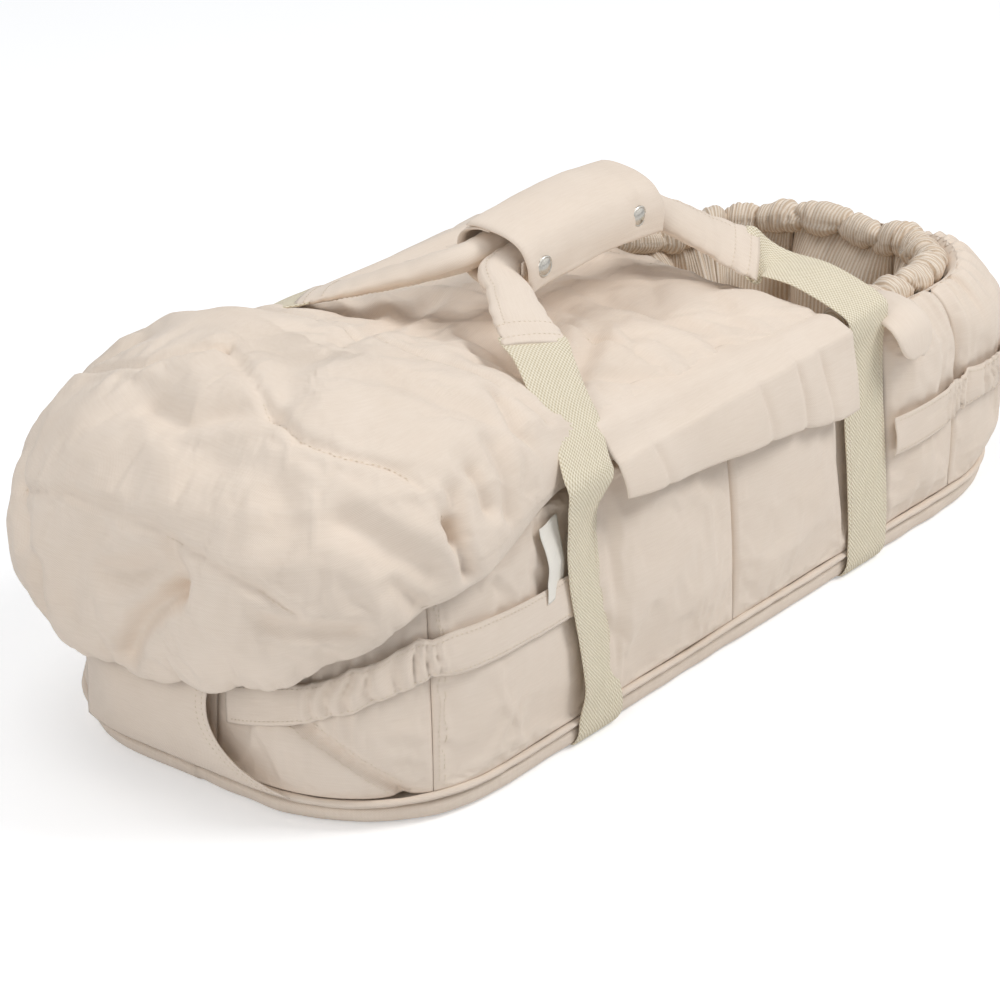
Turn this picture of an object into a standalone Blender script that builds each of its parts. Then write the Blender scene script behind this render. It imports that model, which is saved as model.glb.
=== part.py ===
"""Soft carrycot: quilted cotton walls, footmuff cover, two webbing handles held together by a grip wrap.

Metres, +Z up. The origin is on the floor under the middle of the base, +X points to the head end,
and -Y is the near side. Every piece is a closed solid at its resting place.
"""
import math

import bmesh
import bpy
import numpy as np

# Driving dimensions of the base
HALF_LENGTH = 0.385
HALF_WIDTH = 0.163
CORNER_RADIUS = 0.112
GAP = 0.0003

# Heights
BASE_TOP = 0.016
WALL_FOOT = 0.0225
RIM_HEIGHT = 0.187
BOARD_THICKNESS = 0.004
MATTRESS_THICKNESS = 0.032

# Walls
WALL_LEAN = 0.013
WALL_THICKNESS = 0.009
SEAM_GAP = 0.0006

# Webbing and handles
WEBBING_WIDTH = 0.048
WEBBING_THICKNESS = 0.002
STRAP_X = {"foot": -0.165, "head": 0.150}
STRAP_GROOVE = WEBBING_WIDTH / 2 + 0.001
HINGE_Y = 0.1605
HINGE_Z = 0.2005
WALL_WEBBING_TOP = HINGE_Z - 0.0090
GRIP_RADIUS = 0.0115

# Cover
COVER_HEAD_X = 0.118
SPINE_FOOT_X = -0.250
COVER_THICKNESS = 0.005

# Wrap round the two grips
WRAP_X = (-0.085, 0.065)
WRAP_THICKNESS = 0.003
SNAP_RADIUS = 0.0075

SRGB = {
    "canvas": (0.890, 0.835, 0.770),
    "rib": (0.860, 0.780, 0.690),
    "webbing": (0.860, 0.830, 0.740),
    "metal": (0.780, 0.770, 0.750),
    "label": (0.950, 0.950, 0.940),
    "board": (0.700, 0.620, 0.500),
    "tape": (0.900, 0.860, 0.800),
}
ROUGHNESS = {"metal": 0.25, "board": 0.6}


def clear_scene():
    """Remove every object, so that the model starts from nothing."""
    for old in list(bpy.data.objects):
        bpy.data.objects.remove(old, do_unlink=True)


def collection(name):
    """Make a collection under the scene."""
    made = bpy.data.collections.new(name)
    bpy.context.scene.collection.children.link(made)
    return made


clear_scene()
PARTS = collection("carrycot")
CUTTERS = collection("cutters")


def material(name, kind):
    """One Principled material for one part."""
    made = bpy.data.materials.new(name)
    made.use_nodes = True
    shader = made.node_tree.nodes["Principled BSDF"]
    shader.inputs["Base Color"].default_value = (*SRGB[kind], 1)
    shader.inputs["Roughness"].default_value = ROUGHNESS.get(kind, 0.9)
    shader.inputs["Metallic"].default_value = 1.0 if kind == "metal" else 0.0
    return made


def add_object(name, mesh, kind, smooth=40):
    """Put a mesh in the carrycot's collection with its own material."""
    mesh.update()
    obj = bpy.data.objects.new(name, mesh)
    PARTS.objects.link(obj)
    obj.data.materials.append(material(name, kind))
    mesh.shade_smooth()
    mesh.set_sharp_from_angle(angle=math.radians(smooth))
    return obj


def mesh_from_bmesh(name, bm):
    """Close a bmesh into a mesh whose faces point outwards."""
    bmesh.ops.recalc_face_normals(bm, faces=bm.faces)
    mesh = bpy.data.meshes.new(name)
    bm.to_mesh(mesh)
    bm.free()
    return mesh


def add_modifier(obj, kind, **settings):
    """Add a modifier and set its values."""
    modifier = obj.modifiers.new(kind.title(), kind)
    for key, value in settings.items():
        setattr(modifier, key, value)
    return modifier


def smoothstep(low, high, value):
    """0 below low, 1 above high and an eased climb between them."""
    t = np.clip((np.asarray(value, float) - low) / (high - low), 0, 1)
    return t * t * (3 - 2 * t)


def outline_table(count=720):
    """The base outline: arc length, point and outward normal of a rounded rectangle.

    It starts at the middle of the foot end and runs along the near side to the head end and back.
    """
    straight_x = HALF_LENGTH - CORNER_RADIUS
    straight_y = HALF_WIDTH - CORNER_RADIUS
    corner = CORNER_RADIUS * math.pi / 2
    lengths = [straight_y, corner, 2 * straight_x, corner, 2 * straight_y, corner, 2 * straight_x, corner,
               straight_y]
    ends = np.concatenate([[0], np.cumsum(lengths)])
    turns = [180, 180, 270, 270, 360, 360, 450, 450, 540, 540]
    s = np.linspace(0, ends[-1], count)
    angle = np.radians(np.interp(s, ends, turns))
    near = np.sin(angle)
    along = np.cos(angle)
    corners = np.array([[-1, -1], [1, -1], [1, 1], [-1, 1]]) * (straight_x, straight_y)
    x_stops = [-straight_x, -straight_x, -straight_x, straight_x, straight_x, straight_x, straight_x,
               -straight_x, -straight_x, -straight_x]
    y_stops = [0, corners[0][1], corners[0][1], corners[1][1], corners[1][1], corners[2][1], corners[2][1],
               corners[3][1], corners[3][1], 0]
    x = np.interp(s, ends, x_stops) + CORNER_RADIUS * along
    y = np.interp(s, ends, y_stops) + CORNER_RADIUS * near
    return s, np.column_stack([x, y]), np.column_stack([along, near])


OUTLINE_S, OUTLINE_XY, OUTLINE_NORMAL = outline_table()
PERIMETER = OUTLINE_S[-1]
HEAD_S = PERIMETER / 2
SIDE_START = (HALF_WIDTH - CORNER_RADIUS) + CORNER_RADIUS * math.pi / 2
SIDE_LENGTH = 2 * (HALF_LENGTH - CORNER_RADIUS)


def side_s(x, side=-1):
    """Arc length of a point at x on the straight near (-1) or far (+1) side."""
    s = SIDE_START + (x + HALF_LENGTH - CORNER_RADIUS)
    return s if side < 0 else PERIMETER - s


def plan(s):
    """Point and outward normal of the base outline at arc length s."""
    s = np.mod(s, PERIMETER)
    point = np.column_stack([np.interp(s, OUTLINE_S, OUTLINE_XY[:, k]) for k in range(2)])
    normal = np.column_stack([np.interp(s, OUTLINE_S, OUTLINE_NORMAL[:, k]) for k in range(2)])
    return point, normal / np.linalg.norm(normal, axis=1)[:, None]


def wall_points(s, depth, z):
    """Points at the given depth inside the outline and height z, one for each s."""
    s, depth, z = np.broadcast_arrays(np.atleast_1d(s).astype(float), depth, z)
    point, normal = plan(s)
    return np.column_stack([point - normal * depth[:, None], z])


def loft(name, rings, kind, smooth=40):
    """A closed solid through rings of points: an array of (ring, point in the ring, xyz)."""
    rings = np.asarray(rings, float)
    count, around = rings.shape[:2]
    bm = bmesh.new()
    verts = [[bm.verts.new(p) for p in ring] for ring in rings]
    for i in range(count - 1):
        for j in range(around):
            k = (j + 1) % around
            bm.faces.new((verts[i][j], verts[i][k], verts[i + 1][k], verts[i + 1][j]))
    bm.faces.new(verts[0][::-1])
    bm.faces.new(verts[-1])
    bmesh.ops.triangulate(bm, faces=[f for f in bm.faces if len(f.verts) > 4])
    return add_object(name, mesh_from_bmesh(name, bm), kind, smooth)


def slab(name, outline, z0, z1, kind):
    """A flat plate with the given outline."""
    bm = bmesh.new()
    face = bm.faces.new([bm.verts.new((x, y, z0)) for x, y in outline])
    lifted = bmesh.ops.extrude_face_region(bm, geom=[face])
    moved = [v for v in lifted["geom"] if isinstance(v, bmesh.types.BMVert)]
    bmesh.ops.translate(bm, verts=moved, vec=(0, 0, z1 - z0))
    return add_object(name, mesh_from_bmesh(name, bm), kind)


def rounded_outline(inset, count=56):
    """The base outline moved inwards, as points in the plane."""
    s = np.linspace(0, PERIMETER, count, endpoint=False)
    point, normal = plan(s)
    return point - normal * inset


def sweep(name, centres, wide, half_width, half_thick, kind, sides=10, power=1.0):
    """A strap or grip: elliptical sections along a path of centres.

    wide gives the direction of the section's width at each centre; power under 1 squares the section.
    """
    centres = np.asarray(centres, float)
    wide = np.broadcast_to(np.asarray(wide, float), centres.shape)
    tangent = np.gradient(centres, axis=0)
    tangent /= np.linalg.norm(tangent, axis=1)[:, None]
    wide = wide - (wide * tangent).sum(1)[:, None] * tangent
    wide /= np.linalg.norm(wide, axis=1)[:, None]
    thick = np.cross(tangent, wide)
    half_width = np.broadcast_to(half_width, len(centres))
    half_thick = np.broadcast_to(half_thick, len(centres))
    angle = (np.arange(sides) + 0.5) * 2 * math.pi / sides
    cos = np.sign(np.cos(angle)) * np.abs(np.cos(angle)) ** power
    sin = np.sign(np.sin(angle)) * np.abs(np.sin(angle)) ** power
    rings = [c + np.outer(cos * hw, w) + np.outer(sin * ht, t)
             for c, w, t, hw, ht in zip(centres, wide, thick, half_width, half_thick)]
    return loft(name, rings, kind)


def smooth_path(points, count):
    """A smooth curve through hand-chosen points (Catmull-Rom), read at even steps."""
    points = np.asarray(points, float)
    padded = np.vstack([2 * points[0] - points[1], points, 2 * points[-1] - points[-2]])
    t = np.linspace(0, len(points) - 1, count)
    i = np.clip(t.astype(int), 0, len(points) - 2)
    u = (t - i)[:, None]
    p0, p1, p2, p3 = padded[i], padded[i + 1], padded[i + 2], padded[i + 3]
    return 0.5 * (2 * p1 + (p2 - p0) * u + (2 * p0 - 5 * p1 + 4 * p2 - p3) * u**2
                  + (3 * p1 - p0 - 3 * p2 + p3) * u**3)


# Base: padded underside with two grooves for the webbing, piping, stiff board and mattress

def make_base():
    """The padded underside. The webbing lies flush in two grooves across it."""
    rings = [(0.012, 0.0), (0.004, 0.003), (0.0, 0.009), (0.003, BASE_TOP)]
    bm = bmesh.new()
    loops = [[bm.verts.new((x, y, z)) for x, y in rounded_outline(inset)] for inset, z in rings]
    for low, high in zip(loops, loops[1:]):
        for j in range(len(low)):
            k = (j + 1) % len(low)
            bm.faces.new((low[j], low[k], high[k], high[j]))
    bm.faces.new(loops[0][::-1])
    bm.faces.new(loops[-1])
    base = add_object("base_panel", mesh_from_bmesh("base_panel", bm), "canvas")
    for place, x in STRAP_X.items():
        cut = bmesh.new()
        bmesh.ops.create_cube(cut, size=1)
        bmesh.ops.scale(cut, verts=cut.verts, vec=(WEBBING_WIDTH + 0.001, 0.5, 0.0056))
        bmesh.ops.translate(cut, verts=cut.verts, vec=(x, 0, 0))
        mesh = mesh_from_bmesh("groove_" + place, cut)
        cutter = bpy.data.objects.new("groove_" + place, mesh)
        CUTTERS.objects.link(cutter)
        cutter.hide_render = True
        cutter.display_type = "WIRE"
        add_modifier(base, "BOOLEAN", operation="DIFFERENCE", object=cutter, solver="EXACT")
    return base


def make_piping():
    """The flat piped seam where the walls meet the base: one closed tube round the outline."""
    radius = 0.0028
    s = np.linspace(0, PERIMETER, 60, endpoint=False)
    angle = np.arange(6) * math.pi / 3
    bm = bmesh.new()
    rings = []
    for step in s:
        point, normal = plan([step])
        ring = [bm.verts.new((*(point[0] + normal[0] * (radius * math.cos(a) - 0.001)),
                              0.0193 + radius * math.sin(a))) for a in angle]
        rings.append(ring)
    for i, ring in enumerate(rings):
        following = rings[(i + 1) % len(rings)]
        for j in range(6):
            k = (j + 1) % 6
            bm.faces.new((ring[j], ring[k], following[k], following[j]))
    add_object("base_piping", mesh_from_bmesh("base_piping", bm), "canvas")


def make_mattress():
    """A quilted mattress: crowned, drawn in at its edge and along four sewn channels."""
    low = BASE_TOP + BOARD_THICKNESS + 3 * GAP
    channels = np.linspace(-0.27, 0.27, 4)
    length, width = 0.344, 0.118
    u = np.linspace(-1, 1, 25)
    v = np.linspace(-1, 1, 9)
    grid_u, grid_v = np.meshgrid(u, v, indexing="ij")
    corner = 1 - 0.08 * (grid_v ** 4)
    x = length * grid_u * corner
    y = width * grid_v * (1 - 0.22 * grid_u ** 8)
    crown = (1 - grid_u ** 6) ** 0.5 * (1 - grid_v ** 6) ** 0.5
    pinch = sum(np.exp(-((x - c) / 0.014) ** 2) for c in channels)
    top = low + 0.010 + (MATTRESS_THICKNESS - 0.010) * crown * (1 - 0.35 * pinch)
    outer = np.dstack([x, y, top])
    under = np.dstack([x, y, np.full_like(x, low)])
    two_sheets("mattress", outer, under, "rib")


def two_sheets(name, outer, inner, kind, smooth=60):
    """A closed solid between two sheets of points that share a grid, joined round their edge."""
    rows, cols = outer.shape[:2]
    bm = bmesh.new()
    sheets = [[[bm.verts.new(p) for p in row] for row in sheet] for sheet in (outer, inner)]
    for sheet in sheets:
        for i in range(rows - 1):
            for j in range(cols - 1):
                bm.faces.new((sheet[i][j], sheet[i + 1][j], sheet[i + 1][j + 1], sheet[i][j + 1]))
    edge = [(i, 0) for i in range(rows)] + [(rows - 1, j) for j in range(1, cols)]
    edge += [(i, cols - 1) for i in range(rows - 2, -1, -1)] + [(0, j) for j in range(cols - 2, 0, -1)]
    for (a, b), (c, d) in zip(edge, edge[1:] + edge[:1]):
        bm.faces.new((sheets[0][a][b], sheets[0][c][d], sheets[1][c][d], sheets[1][a][b]))
    return add_object(name, mesh_from_bmesh(name, bm), kind, smooth)


# Walls: quilted panels side by side round the outline

CORNER_SEAM_S = {"foot": SIDE_START - 0.045, "head": side_s(0.262)}
CORNER_END_S = {"foot": 0.050, "head": HEAD_S - 0.062}

# Stations round the head opening, as arc length from the middle of the head end (near side negative)
RIM_STATIONS = [-0.45, -0.324, -0.265, -0.150, -0.095, 0.0, 0.095, 0.150, 0.230, 0.265, 0.324, 0.45]
RIM_DEPTH = [0.024, 0.035, 0.042, 0.048, 0.044, 0.022, 0.046, 0.056, 0.060, 0.052, 0.038, 0.024]
RIM_Z = [0.180, 0.178, 0.171, 0.163, 0.157, 0.150, 0.146, 0.142, 0.142, 0.150, 0.165, 0.180]
CREST_RISE = [0.004, 0.004, 0.008, 0.014, 0.021, -0.002, -0.012, -0.014, -0.012, -0.006, 0.002, 0.004]
RING_RADIUS = 0.0105


def from_head(s):
    """Signed arc length from the middle of the head end, the near side negative."""
    return np.mod(s, PERIMETER) - HEAD_S


def near_arc(s):
    """Arc length folded onto the near half."""
    s = np.mod(s, PERIMETER)
    return np.minimum(s, PERIMETER - s)


def rim_line(s):
    """Depth and height of the gathered rim's centre line, and how far the wall's crest is above it."""
    q = from_head(s)
    return [np.interp(q, RIM_STATIONS, table) for table in (RIM_DEPTH, RIM_Z, CREST_RISE)]


def puff_profile(u, flat_start, flat_end):
    """How full a quilted channel is across its width, 0 at its seams and 1 in the middle."""
    rise = smoothstep(flat_start, flat_start + 0.16, u) * smoothstep(flat_end, flat_end + 0.16, 1 - u)
    return np.sqrt(np.clip(rise, 0, 1))


def side_section(u, puff, inner):
    """Closed section of a straight wall panel: depth and height, up the outside and down the inside."""
    z_out = np.array([WALL_FOOT, 0.036, 0.070, 0.110, 0.145, 0.170, 0.182])
    t = (z_out - WALL_FOOT) / (RIM_HEIGHT - WALL_FOOT)
    out = WALL_LEAN * t ** 1.6 - puff * np.sin(math.pi * np.clip(t, 0, 1)) ** 0.6
    z_in = z_out[::-1] - 0.001
    t_in = t[::-1]
    inside = WALL_LEAN * t_in + WALL_THICKNESS + inner * np.sin(math.pi * t_in) ** 0.7
    depth = np.concatenate([out, [WALL_LEAN + WALL_THICKNESS / 2], inside])
    z = np.concatenate([z_out, [RIM_HEIGHT], z_in])
    z[-1] = WALL_FOOT
    return depth, z


def head_section(s, puff, inner):
    """Closed section of a wall panel under the gathered rim: it puffs up and over towards the rim."""
    rim_depth, rim_z, rise = (float(value) for value in rim_line(s))
    lean = WALL_LEAN * (1 - float(smoothstep(0.028, 0.040, rim_depth)))
    crest = rim_z + rise
    lip = rim_depth - RING_RADIUS - 0.003
    depth = [0.0, 0.05 * lean - 0.6 * puff, 0.2 * lean - 0.75 * puff, 0.4 * lean - 0.8 * puff,
             0.8 * lean - 0.7 * puff, lean + 0.2 * (lip - lean) - 0.35 * puff,
             lean + 0.6 * (lip - lean) - 0.15 * puff, lip]
    z = [WALL_FOOT, 0.045, 0.078, 0.104, crest - 0.034, crest - 0.013, crest - 0.002 + 0.3 * puff,
         min(crest, rim_z + 0.002) - 0.001]
    lip += 0.004
    depth += [lip, lip + 0.003 + inner * 0.7, lip + 0.001 + inner, 0.024 + inner, WALL_THICKNESS]
    z += [rim_z - RING_RADIUS - 0.004, rim_z - 0.034, rim_z - 0.062, 0.050, WALL_FOOT]
    return np.array(depth), np.array(z)


def wall_panel(name, s0, s1, section, columns=8, puff=0.012, inner=0.010, flat=(0.0, 0.0)):
    """A quilted channel of the wall between two seams."""
    s = np.linspace(s0 + SEAM_GAP / 2, s1 - SEAM_GAP / 2, columns)
    u = np.linspace(0, 1, columns)
    fullness = puff_profile(u, *flat)
    rings = []
    for step, full in zip(s, fullness):
        depth, z = section(step, puff * full, inner * full)
        rings.append(wall_points(np.full(len(z), step), depth, z))
    return loft(name, rings, "canvas", 60)


def straight(s, puff, inner):
    """Section of a straight panel, which is the same all along it."""
    return side_section(s, puff, inner)


def make_walls():
    """Six channels down each side, and one across each end."""
    groove = STRAP_GROOVE
    foot_strap, head_strap = STRAP_X["foot"], STRAP_X["head"]
    for side, name in ((-1, "near"), (1, "far")):
        def at(x):
            return side_s(x, side)

        def mirrored(s):
            return s if side < 0 else PERIMETER - s

        spans = [
            ("foot_side", mirrored(CORNER_SEAM_S["foot"]), at(foot_strap), straight, 9, (0.0, 0.17)),
            ("middle_foot_side", at(foot_strap), at(-0.008), straight, 9, (0.15, 0.0)),
            ("middle_head_side", at(-0.008), at(head_strap + groove), straight, 10, (0.0, 0.28)),
            ("head_side", at(head_strap + groove), mirrored(CORNER_SEAM_S["head"]), head_section, 8,
             (0.0, 0.0)),
            ("head_corner", mirrored(CORNER_SEAM_S["head"]), mirrored(CORNER_END_S["head"]), head_section,
             9, (0.0, 0.0)),
            ("foot_corner", mirrored(CORNER_END_S["foot"]), mirrored(CORNER_SEAM_S["foot"]), straight, 9,
             (0.0, 0.0)),
        ]
        for label, a, b, section, columns, flat in spans:
            if a > b:
                a, b, flat = b, a, flat[::-1]
            full = 0.006 if label.startswith("foot") else 0.012
            wall_panel(f"wall_{label}_{name}", a, b, section, columns, puff=full, flat=flat)
    wall_panel("wall_head_end", CORNER_END_S["head"], PERIMETER - CORNER_END_S["head"], head_section, 9)
    wall_panel("wall_foot_end", -CORNER_END_S["foot"], CORNER_END_S["foot"], straight, 7, puff=0.004)


def make_rim():
    """The gathered elastic casing round the head opening: a tube whose fullness ripples along it."""
    start, end = side_s(0.226), PERIMETER - side_s(0.226)
    count = 84
    s = np.linspace(start, end, count)
    depth, z, _ = rim_line(s)
    ripple = 0.5 + 0.5 * np.cos(np.arange(count) * math.pi)
    swell = 0.80 + 0.20 * ripple
    swell[[0, -1]] = 0.7
    angle = np.arange(8) * math.pi / 4
    rings = []
    for step, d, height, size in zip(s, depth, z, swell):
        across = d + RING_RADIUS * size * np.cos(angle)
        up = height + 0.004 + RING_RADIUS * size * np.sin(angle)
        rings.append(wall_points(np.full(8, step), across, up))
    return loft("gathered_rim", rings, "rib", 30)


# Cover: the footmuff, a dome over the foot end that ends in a straight edge over the body

SPINE_X = [SPINE_FOOT_X, -0.200, -0.135, 0.000, COVER_HEAD_X]
SPINE_Z = [0.278, 0.264, 0.241, 0.223, 0.206]
BAG_STATIONS = [0.0, 0.04, 0.085, 0.122, 0.16, 0.20, SIDE_START, side_s(-0.225), side_s(-0.196)]
BAG = {
    "near": {
        "low": [0.086, 0.094, 0.112, 0.138, 0.160, 0.172, 0.178, 0.190, 0.194],
        "bulge": [0.046, 0.046, 0.045, 0.040, 0.033, 0.027, 0.023, 0.012, 0.004],
        "tuck": [0.022, 0.022, 0.018, 0.014, 0.010, 0.007, 0.005, 0.002, 0.0],
        "equator": [0.150, 0.151, 0.157, 0.173, 0.187, 0.194, 0.197, 0.199, 0.199],
    },
    "far": {
        "low": [0.086, 0.084, 0.087, 0.096, 0.112, 0.132, 0.147, 0.178, 0.194],
        "bulge": [0.046, 0.048, 0.049, 0.048, 0.044, 0.036, 0.030, 0.014, 0.004],
        "tuck": [0.022, 0.022, 0.020, 0.018, 0.015, 0.012, 0.009, 0.003, 0.0],
        "equator": [0.150, 0.147, 0.145, 0.146, 0.152, 0.162, 0.170, 0.192, 0.199],
    },
}


def bag_table(s, name):
    """A value of the cover's edge at arc length s, near and far halves apart."""
    s = np.mod(s, PERIMETER)
    near = np.interp(s, BAG_STATIONS, BAG["near"][name])
    far = np.interp(PERIMETER - s, BAG_STATIONS, BAG["far"][name])
    return np.where(s < HEAD_S, near, far)


def cover_surface(s, v):
    """A point of the cover: s runs along its edge, and v from its lower edge (0) to the spine (1)."""
    low, bulge, tuck, equator = (bag_table(s, name) for name in ("low", "bulge", "tuck", "equator"))
    point, normal = plan(s)
    spine_x = np.clip(point[:, 0], SPINE_FOOT_X, COVER_HEAD_X)
    spine_z = np.interp(spine_x, SPINE_X, SPINE_Z)
    lean = WALL_LEAN * smoothstep(0.168, 0.2, equator)
    widest = point + normal * (bulge - lean)[:, None]
    spine = np.column_stack([spine_x, np.zeros_like(spine_x)])
    below = np.clip(v / 0.3, 0, 1) * math.pi / 2
    above = np.clip((v - 0.3) / 0.7, 0, 1) * math.pi / 2
    inward = tuck * (1 - np.sin(below))
    reach = np.cos(above) ** 0.8
    flat = spine + (widest - spine) * reach[:, None] - normal * inward[:, None]
    z = np.where(v < 0.3, low + (equator - low) * (1 - np.cos(below)) ** 0.8,
                 equator + (spine_z - equator) * np.sin(above))
    return np.column_stack([flat, z])


# Sewn lines and folds of the cover: a path of points, how wide the valley is and how deep
COVER_VALLEYS = [
    ([(-0.395, 0.150, 0.170), (-0.402, 0.131, 0.184), (-0.415, 0.069, 0.204), (-0.416, -0.001, 0.206),
      (-0.420, -0.058, 0.195), (-0.418, -0.090, 0.187), (-0.413, -0.112, 0.176)], 0.012, 0.0055),
    ([(-0.300, 0.040, 0.272), (-0.342, -0.036, 0.265), (-0.344, -0.090, 0.255), (-0.327, -0.125, 0.248),
      (-0.323, -0.163, 0.224)], 0.012, 0.0045),
    ([(-0.300, 0.040, 0.272), (-0.330, 0.085, 0.255), (-0.325, 0.130, 0.240), (-0.315, 0.165, 0.215)],
     0.012, 0.0045),
    ([(-0.359, 0.055, 0.255), (-0.366, 0.016, 0.254), (-0.352, -0.013, 0.262)], 0.014, 0.0050),
    ([(-0.323, -0.163, 0.224), (-0.325, -0.183, 0.194)], 0.013, 0.0060),
    ([(-0.428, 0.036, 0.168), (-0.428, 0.014, 0.172), (-0.425, -0.010, 0.185)], 0.015, 0.0060),
    ([(-0.428, -0.027, 0.171), (-0.431, -0.005, 0.148), (-0.424, 0.018, 0.125)], 0.014, 0.0080),
    ([(-0.400, 0.090, 0.130), (-0.405, 0.110, 0.160), (-0.380, 0.150, 0.190)], 0.014, 0.0060),
    ([(-0.330, 0.180, 0.180), (-0.320, 0.170, 0.215), (-0.290, 0.130, 0.245)], 0.014, 0.0060),
    ([(-0.210, -0.112, 0.249), (-0.221, -0.137, 0.238)], 0.014, 0.0050),
    ([(-0.185, -0.120, 0.236), (-0.200, -0.080, 0.252), (-0.205, 0.0, 0.266), (-0.200, 0.080, 0.252),
      (-0.185, 0.120, 0.236)], 0.012, 0.0035),
]


def valley_depth(point):
    """How far the valleys draw a point of the cover in: depth * exp(-(distance / width) squared)."""
    total = 0.0
    for path, width, depth in COVER_VALLEYS:
        path = np.array(path)
        starts, runs = path[:-1], np.diff(path, axis=0)
        along = np.clip(((point - starts) * runs).sum(1) / (runs * runs).sum(1), 0, 1)
        nearest = np.linalg.norm(point - starts - along[:, None] * runs, axis=1).min()
        total += depth * math.exp(-(nearest / width) ** 2)
    return total


def make_cover():
    """The dome as one open surface from near edge to far edge, thickened by Solidify."""
    side_stations = [side_s(x) for x in (-0.196, -0.168, -0.14, -0.115, -0.09, -0.02, 0.05, COVER_HEAD_X)]
    stations = np.concatenate([
        -np.array(side_stations[::-1]),
        -np.linspace(side_s(-0.225), 0, 19),
        np.linspace(0, side_s(-0.225), 19)[1:],
        np.array(side_stations),
    ])
    rows = np.array([0.0, 0.15, 0.3, 0.38, 0.46, 0.54, 0.62, 0.70, 0.78, 0.86, 0.93, 1.0])
    bm = bmesh.new()
    grid = []
    for v in rows:
        points = cover_surface(stations, np.full(len(stations), v))
        grid.append([bm.verts.new(p) for p in points])
    for low, high in zip(grid, grid[1:]):
        for j in range(len(stations) - 1):
            bm.faces.new((low[j], low[j + 1], high[j + 1], high[j]))
    bmesh.ops.remove_doubles(bm, verts=bm.verts, dist=0.0002)
    bmesh.ops.recalc_face_normals(bm, faces=bm.faces)
    bm.normal_update()
    moves = [(vert, vert.normal * valley_depth(np.array(vert.co))) for vert in bm.verts]
    for vert, move in moves:
        vert.co -= move
    mesh = bpy.data.meshes.new("cover")
    bm.to_mesh(mesh)
    bm.free()
    cover = add_object("cover", mesh, "canvas", 60)
    add_modifier(cover, "SOLIDIFY", thickness=COVER_THICKNESS, offset=-1)
    return cover


def make_cover_flap(side):
    """The side of the cover that hangs outside the wall between the two straps."""
    name = "near" if side < 0 else "far"
    x = np.linspace(STRAP_X["foot"] + STRAP_GROOVE + 0.004, STRAP_X["head"] - STRAP_GROOVE - 0.002, 12)
    drop = np.linspace(0, 1, 5)
    grid_x, grid_v = np.meshgrid(x, drop, indexing="ij")
    along = (grid_x - x[0]) / (x[-1] - x[0])
    hem = 0.166 - 0.026 * along
    top = 0.1985
    z = top + (hem - top) * grid_v
    y = side * (0.1655 + 0.009 * np.sin(grid_v * math.pi / 2) + 0.002 * np.sin(along * 5 * math.pi) * grid_v)
    outer = np.dstack([grid_x, y + side * 0.0013, z])
    inner = np.dstack([grid_x, y - side * 0.0013, z])
    return two_sheets(f"cover_flap_{name}", outer, inner, "canvas")


# Straps, handles and grip wrap

def make_base_webbing(place, x):
    """The webbing's run under the base, flush with the underside."""
    half = WEBBING_WIDTH / 2
    reach = HALF_WIDTH - 0.004
    outline = [(x - half, -reach), (x + half, -reach), (x + half, reach), (x - half, reach)]
    slab(f"webbing_base_{place}", outline, 0.0, WEBBING_THICKNESS, "webbing")


def make_wall_webbing(place, x, side):
    """The webbing sewn up the wall, from the base to the rim."""
    name = "near" if side < 0 else "far"
    z = np.array([0.0040, 0.012, 0.024, 0.045, 0.090, 0.135, 0.165, 0.182, WALL_WEBBING_TOP])
    t = np.clip((z - WALL_FOOT) / (RIM_HEIGHT - WALL_FOOT), 0, 1)
    depth = WALL_LEAN * t ** 1.6
    top_out = smoothstep(0.150, 0.190, z) * 0.0095
    y = side * (HALF_WIDTH - depth + 0.0045 + top_out)
    y[0] = side * (HALF_WIDTH + 0.0012)
    path = np.column_stack([np.full(len(z), x), y, z])
    sweep(f"webbing_{place}_{name}", path, (1, 0, 0), WEBBING_WIDTH / 2 * 1.25, WEBBING_THICKNESS / 2 * 1.4,
          "webbing", sides=4, power=1.0)


NEAR_GRIP = [(-0.138, -0.090, 0.2585), (-0.122, -0.064, 0.266), (-0.104, -0.040, 0.272),
             (-0.086, -0.0204, 0.2775), (-0.010, -0.0195, 0.2815), (0.066, -0.0204, 0.2775),
             (0.086, -0.032, 0.266), (0.118, -0.053, 0.244), (0.139, -0.073, 0.228)]
FAR_GRIP = [(-0.152, 0.100, 0.2510), (-0.138, 0.068, 0.264), (-0.114, 0.028, 0.277),
            (-0.086, 0.0050, 0.284), (-0.010, 0.0040, 0.288), (0.066, 0.0050, 0.284),
            (0.090, 0.022, 0.271), (0.120, 0.048, 0.250), (0.141, 0.073, 0.230)]
GRIP_HALF_WIDTH = [0.0245, 0.0190, 0.0140, GRIP_RADIUS, GRIP_RADIUS, GRIP_RADIUS, 0.0140, 0.0190, 0.0245]
GRIP_HALF_THICK = [0.0030, 0.0065, 0.0095, GRIP_RADIUS, GRIP_RADIUS, GRIP_RADIUS, 0.0095, 0.0065, 0.0030]


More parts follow.
